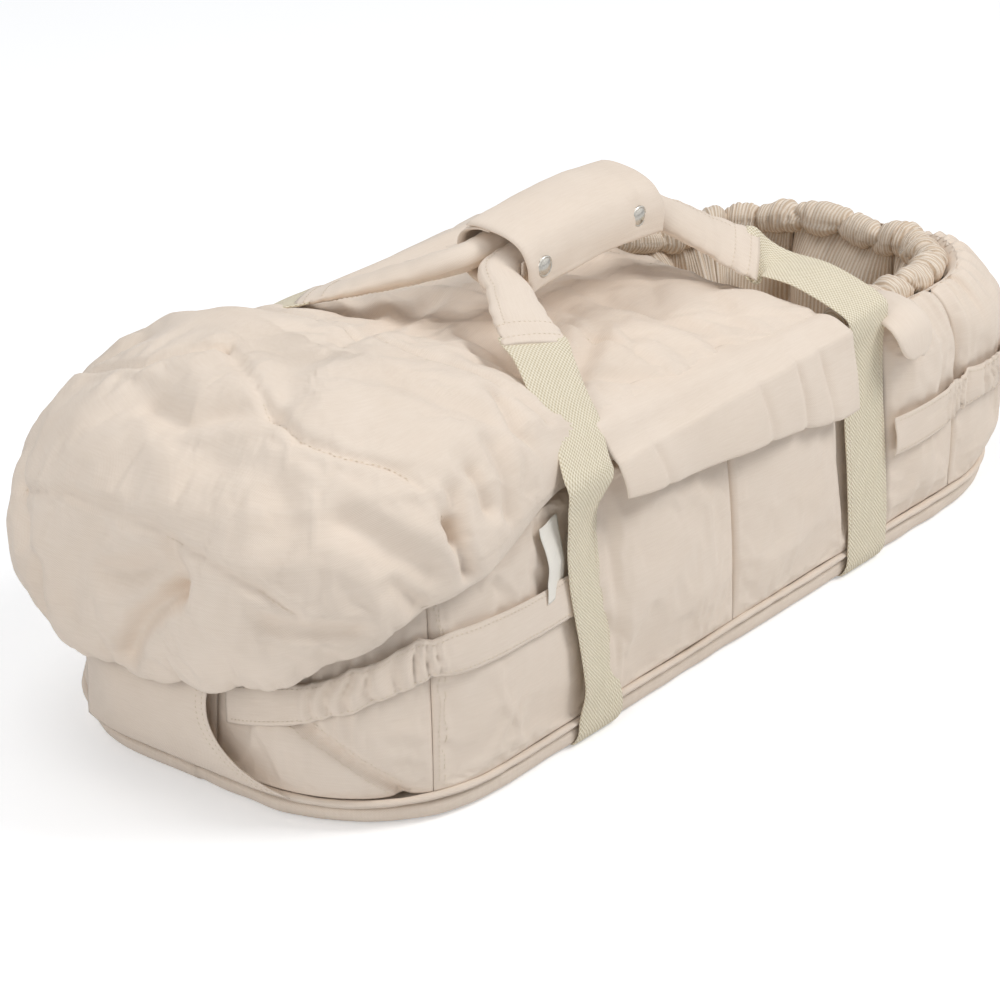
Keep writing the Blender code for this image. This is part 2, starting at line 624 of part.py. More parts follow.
def make_handle(name, grip, side):
    """A handle: two free webbing legs and the padded fabric grip between them."""
    path = smooth_path(grip, 25)
    knots = np.linspace(0, 1, len(grip))
    steps = np.linspace(0, 1, len(path))
    wide = np.column_stack([np.interp(steps, [0, 0.08, 0.35, 0.65, 0.92, 1], [1, 1, 0, 0, 1, 1]),
                            np.interp(steps, [0, 0.08, 0.35, 0.65, 0.92, 1], [0, 0, 1, 1, 0, 0]),
                            np.interp(steps, [0, 0.08, 0.35, 0.65, 0.92, 1], [0, 0, 0.2, 0.2, 0, 0])])
    sweep(f"grip_{name}", path, wide, np.interp(steps, knots, GRIP_HALF_WIDTH),
          np.interp(steps, knots, GRIP_HALF_THICK), "canvas", sides=10)
    for place, end, inner in (("foot", grip[0], grip[1]), ("head", grip[-1], grip[-2])):
        end, inner = np.array(end), np.array(inner)
        away = (end - inner) / np.linalg.norm(end - inner)
        start = end + away * 0.0040
        hinge = np.array([STRAP_X[place], side * (HINGE_Y - 0.002), HINGE_Z + 0.004])
        middle = (start + hinge) / 2 + np.array([0, side * 0.006, 0.010])
        leg = smooth_path([start, start + away * 0.010, middle, hinge], 12)
        sweep(f"handle_webbing_{place}_{name}", leg, (1, 0, 0), WEBBING_WIDTH / 2 * 1.25,
              WEBBING_THICKNESS / 2 * 1.4, "webbing", sides=4)


WRAP_SECTION = {
    "back": [(-0.008, 0.3035), (0.004, 0.3035), (0.0155, 0.2985), (0.0190, 0.2880), (0.0150, 0.2750),
             (0.002, 0.2664), (-0.016, 0.2640), (-0.0290, 0.2678), (-0.0344, 0.2770), (-0.0350, 0.2900)],
    "flap": [(-0.0095, 0.3035), (-0.0225, 0.3030), (-0.0340, 0.2975), (-0.0400, 0.2870), (-0.0407, 0.2770),
             (-0.0402, 0.2670)],
}


def make_wrap(name, section):
    """One leaf of the grip wrap: its section in the YZ plane, carried along X with a slight sag."""
    section = np.array(section)
    tangent = np.gradient(section, axis=0)
    tangent /= np.linalg.norm(tangent, axis=1)[:, None]
    normal = np.column_stack([-tangent[:, 1], tangent[:, 0]]) * WRAP_THICKNESS / 2
    x = np.linspace(*WRAP_X, 7)
    arch = -0.004 * ((x - x.mean()) / (x[-1] - x.mean())) ** 2
    outer = np.array([np.column_stack([np.full(len(section), px), section + normal]) for px in x])
    inner = np.array([np.column_stack([np.full(len(section), px), section - normal]) for px in x])
    outer[:, :, 2] += arch[:, None]
    inner[:, :, 2] += arch[:, None]
    return two_sheets(name, outer, inner, "canvas")


def make_snap(name, x, y, z, height, radius, tilt):
    """A metal snap part turned about its own axis: a low dome, placed with its axis across the flap."""
    bpy.ops.mesh.primitive_cylinder_add(vertices=16, radius=radius, depth=height)
    obj = bpy.context.active_object
    obj.name = obj.data.name = name
    for holder in list(obj.users_collection):
        holder.objects.unlink(obj)
    PARTS.objects.link(obj)
    obj.data.materials.append(material(name, "metal"))
    for vert in obj.data.vertices:
        if vert.co.z > 0:
            vert.co.x *= SNAP_DOME
            vert.co.y *= SNAP_DOME
    obj.rotation_euler = (tilt, 0, 0)
    obj.location = (x, y, z)
    return obj


SNAP_X = {"foot": -0.070, "head": 0.036}
SNAP_Z = {"foot": 0.2800, "head": 0.2815}
SNAP_DOME = 0.72


def make_snaps():
    """Two caps on the flap and, behind them, two studs on the back leaf."""
    for place, x in SNAP_X.items():
        make_snap(f"snap_cap_{place}", x, -0.0441, SNAP_Z[place], 0.0030, SNAP_RADIUS, math.radians(90))
        make_snap(f"snap_stud_{place}", x, -0.0372, SNAP_Z[place], 0.0012, 0.0045, math.radians(90))


# Small trim

TAB_ROOT = (0.198, 0.131, 0.1905)
TAB_HALF = 0.021


def make_tab(side):
    """The rounded fabric tab beside the head strap: it crosses the rim and folds down outside."""
    name = "near" if side < 0 else "far"
    across = np.linspace(-1, 1, 7)
    path_y = TAB_ROOT[1] + np.array([0.0, 0.014, 0.028, 0.040, 0.0465, 0.0490, 0.0500, 0.0505])
    path_z = TAB_ROOT[2] + np.array([0.0, 0.0015, 0.0, -0.006, -0.016, -0.026, -0.034, -0.038])
    width = TAB_HALF * np.array([1.0, 1.0, 1.0, 1.0, 0.98, 0.84, 0.55, 0.22])
    x = TAB_ROOT[0] + across * width[:, None]
    tangent = np.gradient(np.column_stack([path_y, path_z]), axis=0)
    tangent /= np.linalg.norm(tangent, axis=1)[:, None]
    half = 0.0012
    sheets = []
    for sign in (1, -1):
        y = path_y - sign * half * tangent[:, 1]
        z = path_z + sign * half * tangent[:, 0]
        sheets.append(np.dstack([x, np.tile((side * y)[:, None], 7), np.tile(z[:, None], 7)]))
    return two_sheets(f"tab_{name}", *sheets, "canvas")


def make_label():
    """The plain care label beside the near foot strap."""
    x0 = STRAP_X["foot"] - STRAP_GROOVE - 0.016
    x = np.array([x0, x0 + 0.007, x0 + 0.014])
    z = np.array([0.134, 0.148, 0.160, 0.172])
    grid_x, grid_z = np.meshgrid(x, z, indexing="ij")
    y = -(0.1690 + 0.0015 * (x0 + 0.014 - grid_x) / 0.014)
    outer = np.dstack([grid_x, y - 0.0004, grid_z])
    inner = np.dstack([grid_x, y + 0.0004, grid_z])
    two_sheets("care_label", outer, inner, "label")


def band_section(s, low, high, depth_out):
    """Points of a thin band on the wall at arc lengths s: outer and inner sheets."""
    z = np.linspace(low, high, 3).T
    outer, inner = [], []
    for step, heights, d in zip(s, z, depth_out):
        outer.append(wall_points(np.full(3, step), np.array([d + 0.001, d - 0.0012, d + 0.001]), heights))
        inner.append(wall_points(np.full(3, step), np.full(3, d + 0.0022), heights))
    return np.array(outer), np.array(inner)


def make_foot_pocket():
    """The flat fabric pocket across the foot end; its near edge is open and curves away below."""
    u = np.linspace(0, 1, 9)
    v = np.linspace(0, 1, 5)
    grid_u, grid_v = np.meshgrid(u, v, indexing="ij")
    near_edge = 0.020 + 0.060 * (1 - grid_v) ** 4
    s = -0.094 + (near_edge + 0.094) * grid_u
    z = 0.0235 + 0.070 * grid_v
    stand_off = 0.0080 + 0.0105 * np.sin(math.pi * grid_v) ** 0.7 * smoothstep(0.0, 0.35, grid_u)
    outer = wall_points(s.ravel(), -stand_off.ravel() - 0.0022, z.ravel()).reshape(9, 5, 3)
    inner = wall_points(s.ravel(), -stand_off.ravel(), z.ravel()).reshape(9, 5, 3)
    two_sheets("foot_pocket", outer, inner, "canvas")


BAND_STATIONS = [0.03, 0.093, 0.13, 0.168, 0.215, side_s(-0.19), side_s(0.18), side_s(0.24)]
BAND_LOW = [0.061, 0.079, 0.094, 0.106, 0.108, 0.103, 0.082, 0.086]


def make_waist_bands():
    """The elastic casing sewn round each end below the cover: near and far half at each end."""
    for side, name in ((-1, "near"), (1, "far")):
        foot_start = 0.032 if side < 0 else 0.098
        for place, start, end, count in (("foot", foot_start, side_s(-0.196), 22),
                                         ("head", side_s(0.181), HEAD_S - 0.002, 22)):
            s = np.linspace(start, end, count)
            if side > 0:
                s = PERIMETER - s
            low = np.interp(near_arc(s), BAND_STATIONS, BAND_LOW)
            gather = 0.0012 * np.cos(np.arange(count) * math.pi)
            outer, inner = band_section(s, low, low + 0.030, -0.0148 - gather)
            two_sheets(f"waist_band_{place}_{name}", outer, inner, "canvas")


def make_board():
    """The stiff board under the mattress."""
    outline = rounded_outline(0.030, 40)
    slab("base_board", outline, BASE_TOP + GAP, BASE_TOP + GAP + BOARD_THICKNESS, "board")


make_base()
make_piping()
make_board()
make_mattress()
make_walls()
make_rim()
make_cover()
for flap_side in (-1, 1):
    make_cover_flap(flap_side)
    make_tab(flap_side)
for strap_place, strap_x in STRAP_X.items():
    make_base_webbing(strap_place, strap_x)
    for wall_side in (-1, 1):
        make_wall_webbing(strap_place, strap_x, wall_side)
make_handle("near", NEAR_GRIP, -1)
make_handle("far", FAR_GRIP, 1)
for leaf, leaf_section in WRAP_SECTION.items():
    make_wrap(f"wrap_{leaf}", leaf_section)
make_snaps()
make_label()
make_foot_pocket()
make_waist_bands()
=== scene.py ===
# %% [markdown]
# A soft carrycot in quilted cotton canvas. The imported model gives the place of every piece. Each cell
# below dresses one of them: a surface is worked out as a grid of points with numpy, puffed up by
# a short cloth simulation where it is padded, and given a material that is built from nodes.
#
# +X points to the head end, -Y is the near side and +Z is up. All lengths are metres.

import math

import bpy
import numpy as np
from mathutils import Matrix, Vector
from mathutils.bvhtree import BVHTree


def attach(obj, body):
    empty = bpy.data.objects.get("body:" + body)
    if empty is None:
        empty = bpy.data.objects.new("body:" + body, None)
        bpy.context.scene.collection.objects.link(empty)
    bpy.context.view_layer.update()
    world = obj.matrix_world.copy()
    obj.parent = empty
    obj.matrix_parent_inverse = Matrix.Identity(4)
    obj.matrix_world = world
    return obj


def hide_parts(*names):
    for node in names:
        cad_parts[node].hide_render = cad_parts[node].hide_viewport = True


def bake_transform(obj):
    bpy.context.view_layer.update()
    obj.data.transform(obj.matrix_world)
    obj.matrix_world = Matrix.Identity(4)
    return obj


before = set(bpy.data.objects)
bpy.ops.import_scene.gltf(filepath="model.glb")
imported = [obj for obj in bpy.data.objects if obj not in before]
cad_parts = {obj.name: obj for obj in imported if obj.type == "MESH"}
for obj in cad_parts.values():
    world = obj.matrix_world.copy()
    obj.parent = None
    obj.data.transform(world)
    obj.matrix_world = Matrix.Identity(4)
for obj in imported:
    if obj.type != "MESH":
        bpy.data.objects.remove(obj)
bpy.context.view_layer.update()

# %% [markdown]
# The camera stands where the photograph's did: it looks at the foot end and the near side from
# about 26 degrees up. A long lens of about 170 mm from 3.4 m keeps the verticals nearly parallel.

# %% Camera
AZIMUTH = math.radians(-51.5)
ELEVATION = math.radians(26.5)
PIXELS_PER_METRE = 1388.0
DISTANCE = 3.4
IMAGE = 1000
AIM_PX = (555, 577)

scene = bpy.context.scene
back = Vector((math.sin(AZIMUTH) * math.cos(ELEVATION), -math.cos(AZIMUTH) * math.cos(ELEVATION),
               math.sin(ELEVATION)))
right = Vector((math.cos(AZIMUTH), math.sin(AZIMUTH), 0))
up = back.cross(right)
shift_right = (AIM_PX[0] - IMAGE / 2) / PIXELS_PER_METRE
shift_up = (IMAGE / 2 - AIM_PX[1]) / PIXELS_PER_METRE
camera_data = bpy.data.cameras.new("camera")
camera_data.sensor_width = 36
camera_data.lens = 36 * PIXELS_PER_METRE * DISTANCE / IMAGE
camera = bpy.data.objects.new("camera", camera_data)
place = back * DISTANCE - right * shift_right - up * shift_up
camera.matrix_world = Matrix.Translation(place) @ Matrix((right, up, back)).transposed().to_4x4()
scene.collection.objects.link(camera)
scene.camera = camera
print("lens", round(camera_data.lens, 1))

# %% [markdown]
# The light is a large soft box overhead and in front, a weaker one from the foot end, and a pale
# sky. Soft lamps suit cloth: each fold gets a gentle gradient and no hard edge. The backdrop turns white
# for camera rays only, so it adds no light to the cloth, and the floor still keeps its shadow.

# %% Light and floor
scene.view_settings.view_transform = "Standard"


def linear(hex_colour):
    """sRGB hex to linear RGBA: below 0.04045 divide by 12.92, else ((c + 0.055) / 1.055) ** 2.4."""
    values = [int(hex_colour[i:i + 2], 16) / 255 for i in (1, 3, 5)]
    return (*[v / 12.92 if v <= 0.04045 else ((v + 0.055) / 1.055) ** 2.4 for v in values], 1)


def add_node(tree, kind, inputs=None, **settings):
    """Add a node, set its settings, and fill its inputs with values or with links from sockets."""
    made = tree.nodes.new(kind)
    for key, value in settings.items():
        setattr(made, key, value)
    for key, value in (inputs or {}).items():
        if isinstance(value, bpy.types.NodeSocket):
            tree.links.new(value, made.inputs[key])
        else:
            made.inputs[key].default_value = value
    return made


def soft_box(name, where, size, power):
    """An area lamp at a point, turned towards the middle of the carrycot."""
    data = bpy.data.lights.new(name, "AREA")
    data.size = size
    data.energy = power
    lamp = bpy.data.objects.new(name, data)
    aim = Vector((0, 0, 0.12)) - Vector(where)
    lamp.matrix_world = Matrix.Translation(where) @ aim.to_track_quat("-Z", "Y").to_matrix().to_4x4()
    scene.collection.objects.link(lamp)


soft_box("key", (0.9, -1.6, 2.2), 1.0, 35)
soft_box("overhead", (-0.4, 0.7, 2.5), 1.5, 17)
soft_box("foot_fill", (-2.4, -0.4, 1.3), 1.2, 15)

world = bpy.data.worlds.new("pale_sky")
scene.world = world
world.use_nodes = True
sky = world.node_tree
sky.nodes.clear()
rays = add_node(sky, "ShaderNodeLightPath")
seen = add_node(sky, "ShaderNodeMath", {0: rays.outputs["Is Camera Ray"], 1: rays.outputs["Is Glossy Ray"]},
                operation="MAXIMUM")
seen = add_node(sky, "ShaderNodeMath", {0: seen.outputs[0], 1: rays.outputs["Is Transmission Ray"]},
                operation="MAXIMUM")
dim = add_node(sky, "ShaderNodeBackground", {"Color": linear("#EEF1F6"), "Strength": 0.36})
white = add_node(sky, "ShaderNodeBackground", {"Color": (1, 1, 1, 1), "Strength": 1.0})
mixed = add_node(sky, "ShaderNodeMixShader", {0: seen.outputs[0], 1: dim.outputs[0], 2: white.outputs[0]})
add_node(sky, "ShaderNodeOutputWorld", {"Surface": mixed.outputs[0]})

# %% [markdown]
# A surface that takes the whole floor is one big square. Its edge is far outside the picture.

# %% Floor
FLOOR_HALF = 9.0
floor_mesh = bpy.data.meshes.new("floor")
corners = [(-FLOOR_HALF, -FLOOR_HALF, 0), (FLOOR_HALF, -FLOOR_HALF, 0), (FLOOR_HALF, FLOOR_HALF, 0),
           (-FLOOR_HALF, FLOOR_HALF, 0)]
floor_mesh.from_pydata(corners, [], [(0, 1, 2, 3)])
floor = bpy.data.objects.new("floor", floor_mesh)
scene.collection.objects.link(floor)
paint = bpy.data.materials.new("matt_studio_paint")
paint.use_nodes = True
tree = paint.node_tree
tree.nodes.clear()
rays = add_node(tree, "ShaderNodeLightPath")
matt = add_node(tree, "ShaderNodeBsdfDiffuse", {"Color": linear("#F4F4F4")})
glow = add_node(tree, "ShaderNodeEmission", {"Color": (1, 1, 1, 1), "Strength": 0.34})
lit = add_node(tree, "ShaderNodeAddShader", {0: matt.outputs[0], 1: glow.outputs[0]})
shown = add_node(tree, "ShaderNodeMixShader",
                 {0: rays.outputs["Is Camera Ray"], 1: matt.outputs[0], 2: lit.outputs[0]})
add_node(tree, "ShaderNodeOutputMaterial", {"Surface": shown.outputs[0]})
floor_mesh.materials.append(paint)

# %% [markdown]
# Cotton canvas is a plain weave: threads pass over and under each other. The product of two sines has
# that chequered relief. The real threads are 0.5 mm apart, too fine to show, so they are drawn 1.1 mm
# apart. Every cloth piece carries a UV map in metres, so the weave follows its folds. The same
# function serves all four woven cloths with other colours and spacings.

# %% Woven materials
TAU = 2 * math.pi


def woven(name, light, dark, across, along, depth, sheen, stripe=0.0, mottle=0.5, rough=0.92):
    """A woven cloth. Relief is sin(u) * sin(v), with threads across and along apart in metres.
    stripe from 0 to 1 weighs ribs that run along v, and mottle weighs clouds of colour against the relief.
    The chequered relief also darkens the troughs between threads: painted shade."""
    made = bpy.data.materials.new(name)
    made.use_nodes = True
    tree = made.node_tree
    tree.nodes.clear()
    uv = add_node(tree, "ShaderNodeUVMap", uv_map="cloth")
    parts = add_node(tree, "ShaderNodeSeparateXYZ", {0: uv.outputs[0]})
    wander = add_node(tree, "ShaderNodeTexNoise", {"Vector": uv.outputs[0], "Scale": 90.0, "Detail": 2.0})
    waves = []
    for value, spacing in zip(parts.outputs, (across, along)):
        turns = add_node(tree, "ShaderNodeMath", {0: value, 1: TAU / spacing}, operation="MULTIPLY")
        shaky = add_node(tree, "ShaderNodeMath", {0: wander.outputs[0], 1: 2.2, 2: turns.outputs[0]},
                         operation="MULTIPLY_ADD")
        waves.append(add_node(tree, "ShaderNodeMath", {0: shaky.outputs[0]}, operation="SINE").outputs[0])
    cross = add_node(tree, "ShaderNodeMath", {0: waves[0], 1: waves[1]}, operation="MULTIPLY")
    height = add_node(tree, "ShaderNodeMapRange", {0: cross.outputs[0], 1: -1.0, 2: 1.0, 3: 0.0, 4: 1.0})
    ribs = add_node(tree, "ShaderNodeMapRange", {0: waves[0], 1: -0.5, 2: 0.6, 3: 0.0, 4: 1.0})
    relief = add_node(tree, "ShaderNodeMix", {0: stripe, 2: height.outputs[0], 3: ribs.outputs[0]})
    place = add_node(tree, "ShaderNodeTexCoord")
    cloud = add_node(tree, "ShaderNodeTexNoise", {"Vector": place.outputs["Object"], "Scale": 14.0,
                                                  "Detail": 5.0, "Roughness": 0.62})
    slub = add_node(tree, "ShaderNodeMapping", {"Vector": uv.outputs[0], "Scale": (60.0, 900.0, 1.0)})
    slubs = add_node(tree, "ShaderNodeTexNoise", {"Vector": slub.outputs[0], "Scale": 1.0, "Detail": 2.0})
    # The colour follows the relief as well as the clouds and slubs. The troughs between threads are painted
    # darker as shade. The lining's ribs give its own stripes, and the clouds and slubs give the cloth's own
    # uneven tone.
    tone_with_painted_shade = add_node(tree, "ShaderNodeMix", {0: mottle, 2: relief.outputs[0], 3: cloud.outputs[0]})
    tone_with_painted_shade = add_node(tree, "ShaderNodeMix", {0: 0.25, 2: tone_with_painted_shade.outputs[0], 3: slubs.outputs[0]})
    spread = add_node(tree, "ShaderNodeMapRange", {0: tone_with_painted_shade.outputs[0], 1: 0.22, 2: 0.72, 3: 0.0, 4: 1.0})
    colour = add_node(tree, "ShaderNodeMix", {0: spread.outputs[0], 6: linear(dark), 7: linear(light)},
                      data_type="RGBA")
    bumped = add_node(tree, "ShaderNodeMath", {0: relief.outputs[0], 1: slubs.outputs[0]}, operation="ADD")
    bump = add_node(tree, "ShaderNodeBump", {"Height": bumped.outputs[0], "Distance": depth,
                                             "Strength": 0.7})
    shader = add_node(tree, "ShaderNodeBsdfPrincipled",
                      {"Base Color": colour.outputs[2], "Roughness": rough, "Normal": bump.outputs[0]})
    shader.inputs["IOR"].default_value = 1.46
    shader.inputs["Sheen Weight"].default_value = sheen
    shader.inputs["Sheen Roughness"].default_value = 0.45
    add_node(tree, "ShaderNodeOutputMaterial", {"Surface": shader.outputs[0]})
    return made


# Washed canvas is matt, with a faint bloom of loose fibres and clouds of slightly darker cream
CANVAS = woven("washed_cotton_canvas", "#F2E4D5", "#E1CFBC", 0.0011, 0.0011, 0.00012, 0.12)
# The lining's ribs are 3.1 mm apart and show as sand-coloured lines
RIBBED = woven("striped_cotton_lining", "#F3E5D4", "#D9C3AA", 0.0031, 0.0017, 0.0006, 0.1, stripe=0.85,
               mottle=0.15)
# Webbing is woven of thick yarns, so its relief is the deepest and its tint a little greener
WEBBING = woven("cotton_webbing", "#F8EFDA", "#CDBE9E", 0.0034, 0.0028, 0.0008, 0.08, mottle=0.12)
# Satin floats its threads on the surface, which gives the label its sheen
SATIN = woven("woven_satin_label", "#F8F3E9", "#EBE4D6", 0.0010, 0.0010, 0.00008, 0.3, mottle=0.6,
              rough=0.55)

# %% [markdown]
# The snaps are pressed steel with a nickel finish: smooth and slightly warm. The real ones carry turning
# marks from the press; here they get only a fine mottled grain. Stitching thread is polyester, a shade
# lighter than the cloth.
# The stiffener is grey board: matt, with short fibres. These three read Object coordinates.

# %% Nickel, thread and board
def plain(name, light, dark, scale, rough, metallic=0.0, depth=0.0001):
    """A finish mottled by noise of the given scale (cells per metre) between two hex colours."""
    made = bpy.data.materials.new(name)
    made.use_nodes = True
    tree = made.node_tree
    tree.nodes.clear()
    place = add_node(tree, "ShaderNodeTexCoord")
    grain = add_node(tree, "ShaderNodeTexNoise", {"Vector": place.outputs["Object"], "Scale": scale,
                                                  "Detail": 4.0})
    colour = add_node(tree, "ShaderNodeMix", {0: grain.outputs[0], 6: linear(dark), 7: linear(light)},
                      data_type="RGBA")
    worn = add_node(tree, "ShaderNodeMapRange", {0: grain.outputs[0], 1: 0.3, 2: 0.7, 3: rough * 0.8,
                                                 4: rough * 1.2})
    bump = add_node(tree, "ShaderNodeBump", {"Height": grain.outputs[0], "Distance": depth,
                                             "Strength": 0.4})
    shader = add_node(tree, "ShaderNodeBsdfPrincipled",
                      {"Base Color": colour.outputs[2], "Roughness": worn.outputs[0],
                       "Normal": bump.outputs[0]})
    shader.inputs["Metallic"].default_value = metallic
    add_node(tree, "ShaderNodeOutputMaterial", {"Surface": shader.outputs[0]})
    return made


NICKEL = plain("pressed_nickel_steel", "#D8D5CE", "#B4AFA6", 900.0, 0.24, metallic=1.0)
THREAD = plain("polyester_thread", "#F0E3D0", "#DCCBB4", 1500.0, 0.7)
BOARD = plain("grey_board", "#B9A78C", "#9A8A72", 400.0, 0.85, depth=0.0003)

# %% [markdown]
# Every soft piece is a grid of points: rows along one direction, columns along the other. These
# helpers turn such a grid into a closed mesh, with the cloth's UV in metres measured along the grid.

# %% Grids to meshes
def smoothstep(low, high, value):
    """0 below low, 1 above high and the curve 3t^2 - 2t^3 between them."""
    t = np.clip((np.asarray(value, float) - low) / (high - low), 0, 1)
    return t * t * (3 - 2 * t)


def soft_noise(x, y, cell, seed):
    """Smooth noise from -1 to 1: random values on a lattice of cells, blended by 3t^2 - 2t^3."""
    table = np.random.default_rng(seed).uniform(-1, 1, (64, 64))
    gx, gy = np.asarray(x, float) / cell + 512, np.asarray(y, float) / cell + 512
    ix, iy = np.floor(gx).astype(int), np.floor(gy).astype(int)
    tx, ty = smoothstep(0, 1, gx - ix), smoothstep(0, 1, gy - iy)
    a, b = table[ix % 64, iy % 64], table[(ix + 1) % 64, iy % 64]
    c, d = table[ix % 64, (iy + 1) % 64], table[(ix + 1) % 64, (iy + 1) % 64]
    return a * (1 - tx) * (1 - ty) + b * tx * (1 - ty) + c * (1 - tx) * ty + d * tx * ty


def unit(vectors):
    """Vectors divided by their lengths, with a floor under the length."""
    return vectors / np.maximum(np.linalg.norm(vectors, axis=-1, keepdims=True), 1e-9)


def grid_normals(points, loop=False):
    """Cross product of the two grid directions; loop joins the last column to the first."""
    down = np.gradient(points, axis=0)
    if loop:
        across = (np.roll(points, -1, 1) - np.roll(points, 1, 1)) / 2
    else:
        across = np.gradient(points, axis=1)
    return unit(np.cross(down, across))


def lengths_along(points, axis):
    """Running length of the grid lines along an axis, measured on the middle line."""
    step = np.linalg.norm(np.diff(points, axis=axis), axis=2).mean(axis=1 - axis)
    return np.concatenate([[0], np.cumsum(step)])


def quads(rows, cols, offset=0, loop=False, wrap=False):
    """Faces of a grid. loop joins the last column to the first, and wrap the last row."""
    i = np.arange(rows if wrap else rows - 1)[:, None]
    j = np.arange(cols if loop else cols - 1)[None, :]
    k, m = (j + 1) % cols, (i + 1) % rows
    corner = [i * cols + j, i * cols + k, m * cols + k, m * cols + j]
    return np.stack([np.broadcast_to(c, (i.size, j.size)) for c in corner], -1).reshape(-1, 4) + offset


def two_skins(rows, cols):
    """Faces of a grid, of a second grid stored after it, and of a strip that joins their borders."""
    count = rows * cols
    border = np.concatenate([np.arange(cols), np.arange(1, rows) * cols + cols - 1,
                             (rows - 1) * cols + np.arange(cols - 2, -1, -1),
                             np.arange(rows - 2, 0, -1) * cols])
    after = np.roll(border, -1)
    strip = np.stack([border, border + count, after + count, after], -1)
    return np.concatenate([quads(rows, cols), quads(rows, cols, count)[:, ::-1], strip])


def averaged(values, reach):
    """Each row averaged with a Hann window that reaches so many values each way, its ends held."""
    kernel = np.hanning(2 * reach + 1) / np.hanning(2 * reach + 1).sum()
    wide = np.pad(values, ((0, 0), (reach, reach)), mode="edge")
    return np.stack([np.convolve(row, kernel, mode="valid") for row in wide])


def volume(points, faces):
    """Signed volume of a closed mesh: a sum of triple products over its triangles."""
    a, b, c, d = (points[faces[:, k]] for k in range(4))
    return (np.cross(a, b) * c).sum() + (np.cross(a, c) * d).sum()


def placed(name, mesh, material, body):
    """A smooth object of the mesh in the scene, with its material and body."""
    mesh.shade_smooth()
    mesh.materials.append(material)
    obj = bpy.data.objects.new(name, mesh)
    scene.collection.objects.link(obj)
    if body:
        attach(obj, body)
    return obj


def build(name, points, faces, uv, material, body="cot"):
    """Put points and faces into a mesh whose faces point outwards, and let it ride on a body."""
    if volume(points, faces) < 0:
        faces = faces[:, ::-1]
    mesh = bpy.data.meshes.new(name)
    mesh.vertices.add(len(points))
    mesh.vertices.foreach_set("co", points.astype(np.float32).ravel())
    mesh.loops.add(faces.size)
    mesh.loops.foreach_set("vertex_index", faces.ravel().astype(np.int32))
    mesh.polygons.add(len(faces))
    mesh.polygons.foreach_set("loop_start", (np.arange(len(faces)) * 4).astype(np.int32))
    mesh.update(calc_edges=True)
    mesh.validate()
    layer = mesh.uv_layers.new(name="cloth")
    layer.data.foreach_set("uv", uv[faces.ravel()].astype(np.float32).ravel())
    return placed(name, mesh, material, body)


def grid_uv(points, loop=False):
    """UV in metres: running lengths along rows and columns."""
    u, v = np.meshgrid(lengths_along(points, 0), lengths_along(points, 1), indexing="ij")
    return np.stack([u, v], -1).reshape(-1, 2)


SHEETS = {}


def cloth(name, outer, thick, material, body="cot", edge=3, replaces=()):
    """A sheet of cloth with real thickness: the grid, and a copy moved inwards that meets it at a
    rounded edge over the given number of grid steps."""
    SHEETS[name] = outer
    rows, cols = outer.shape[:2]
    i, j = np.meshgrid(np.arange(rows), np.arange(cols), indexing="ij")
    near_edge = np.minimum(np.minimum(i, rows - 1 - i), np.minimum(j, cols - 1 - j))
    round_off = np.sqrt(1 - (1 - np.clip(near_edge / edge, 0, 1)) ** 2)
    push = grid_normals(outer) * (thick * (0.25 + 0.75 * round_off))[..., None]
    inner = outer - push
    points = np.concatenate([outer.reshape(-1, 3), inner.reshape(-1, 3)])
    uv = grid_uv(outer)
    obj = build(name, points, two_skins(rows, cols), np.concatenate([uv, uv]), material, body)
    if replaces:
        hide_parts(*replaces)
    return obj


def tube(name, rings, material, body="cot", closed=False, replaces=()):
    """A closed body through rings of points. Its ends are drawn to their middles, or joined."""
    rows, cols = rings.shape[:2]
    points = rings.reshape(-1, 3)
    faces = quads(rows, cols, loop=True, wrap=closed)
    uv = grid_uv(rings)
    if not closed:
        ends = np.array([rings[0].mean(0), rings[-1].mean(0)])
        first, last = len(points), len(points) + 1
        points = np.concatenate([points, ends])
        uv = np.concatenate([uv, uv[[0, -1]]])
        j = np.arange(0, cols, 2)
        k, m = (j + 1) % cols, (j + 2) % cols
        base = (rows - 1) * cols
        faces = np.concatenate([faces, np.stack([j * 0 + first, m, k, j], -1),
                                np.stack([base + j, base + k, base + m, j * 0 + last], -1)])
    obj = build(name, points, faces, uv, material, body)
    if replaces:
        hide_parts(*replaces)
    return obj


def curve_through(points, count):
    """A smooth curve through given points (Catmull-Rom), read at even parameter steps."""
    points = np.asarray(points, float)
    padded = np.concatenate([2 * points[:1] - points[1:2], points, 2 * points[-1:] - points[-2:-1]])
    t = np.linspace(0, len(points) - 1, count)
    i = np.clip(t.astype(int), 0, len(points) - 2)
    u = (t - i).reshape(-1, *[1] * (points.ndim - 1))
    p0, p1, p2, p3 = padded[i], padded[i + 1], padded[i + 2], padded[i + 3]
    return 0.5 * (2 * p1 + (p2 - p0) * u + (2 * p0 - 5 * p1 + 4 * p2 - p3) * u**2
                  + (3 * p1 - p0 - 3 * p2 + p3) * u**3)


# %% [markdown]
# The base is a rounded rectangle. A point on it is named by its arc length s, from the middle of
# the foot end along the near side to the head end and back. Walls, bands, piping and cover all use it.

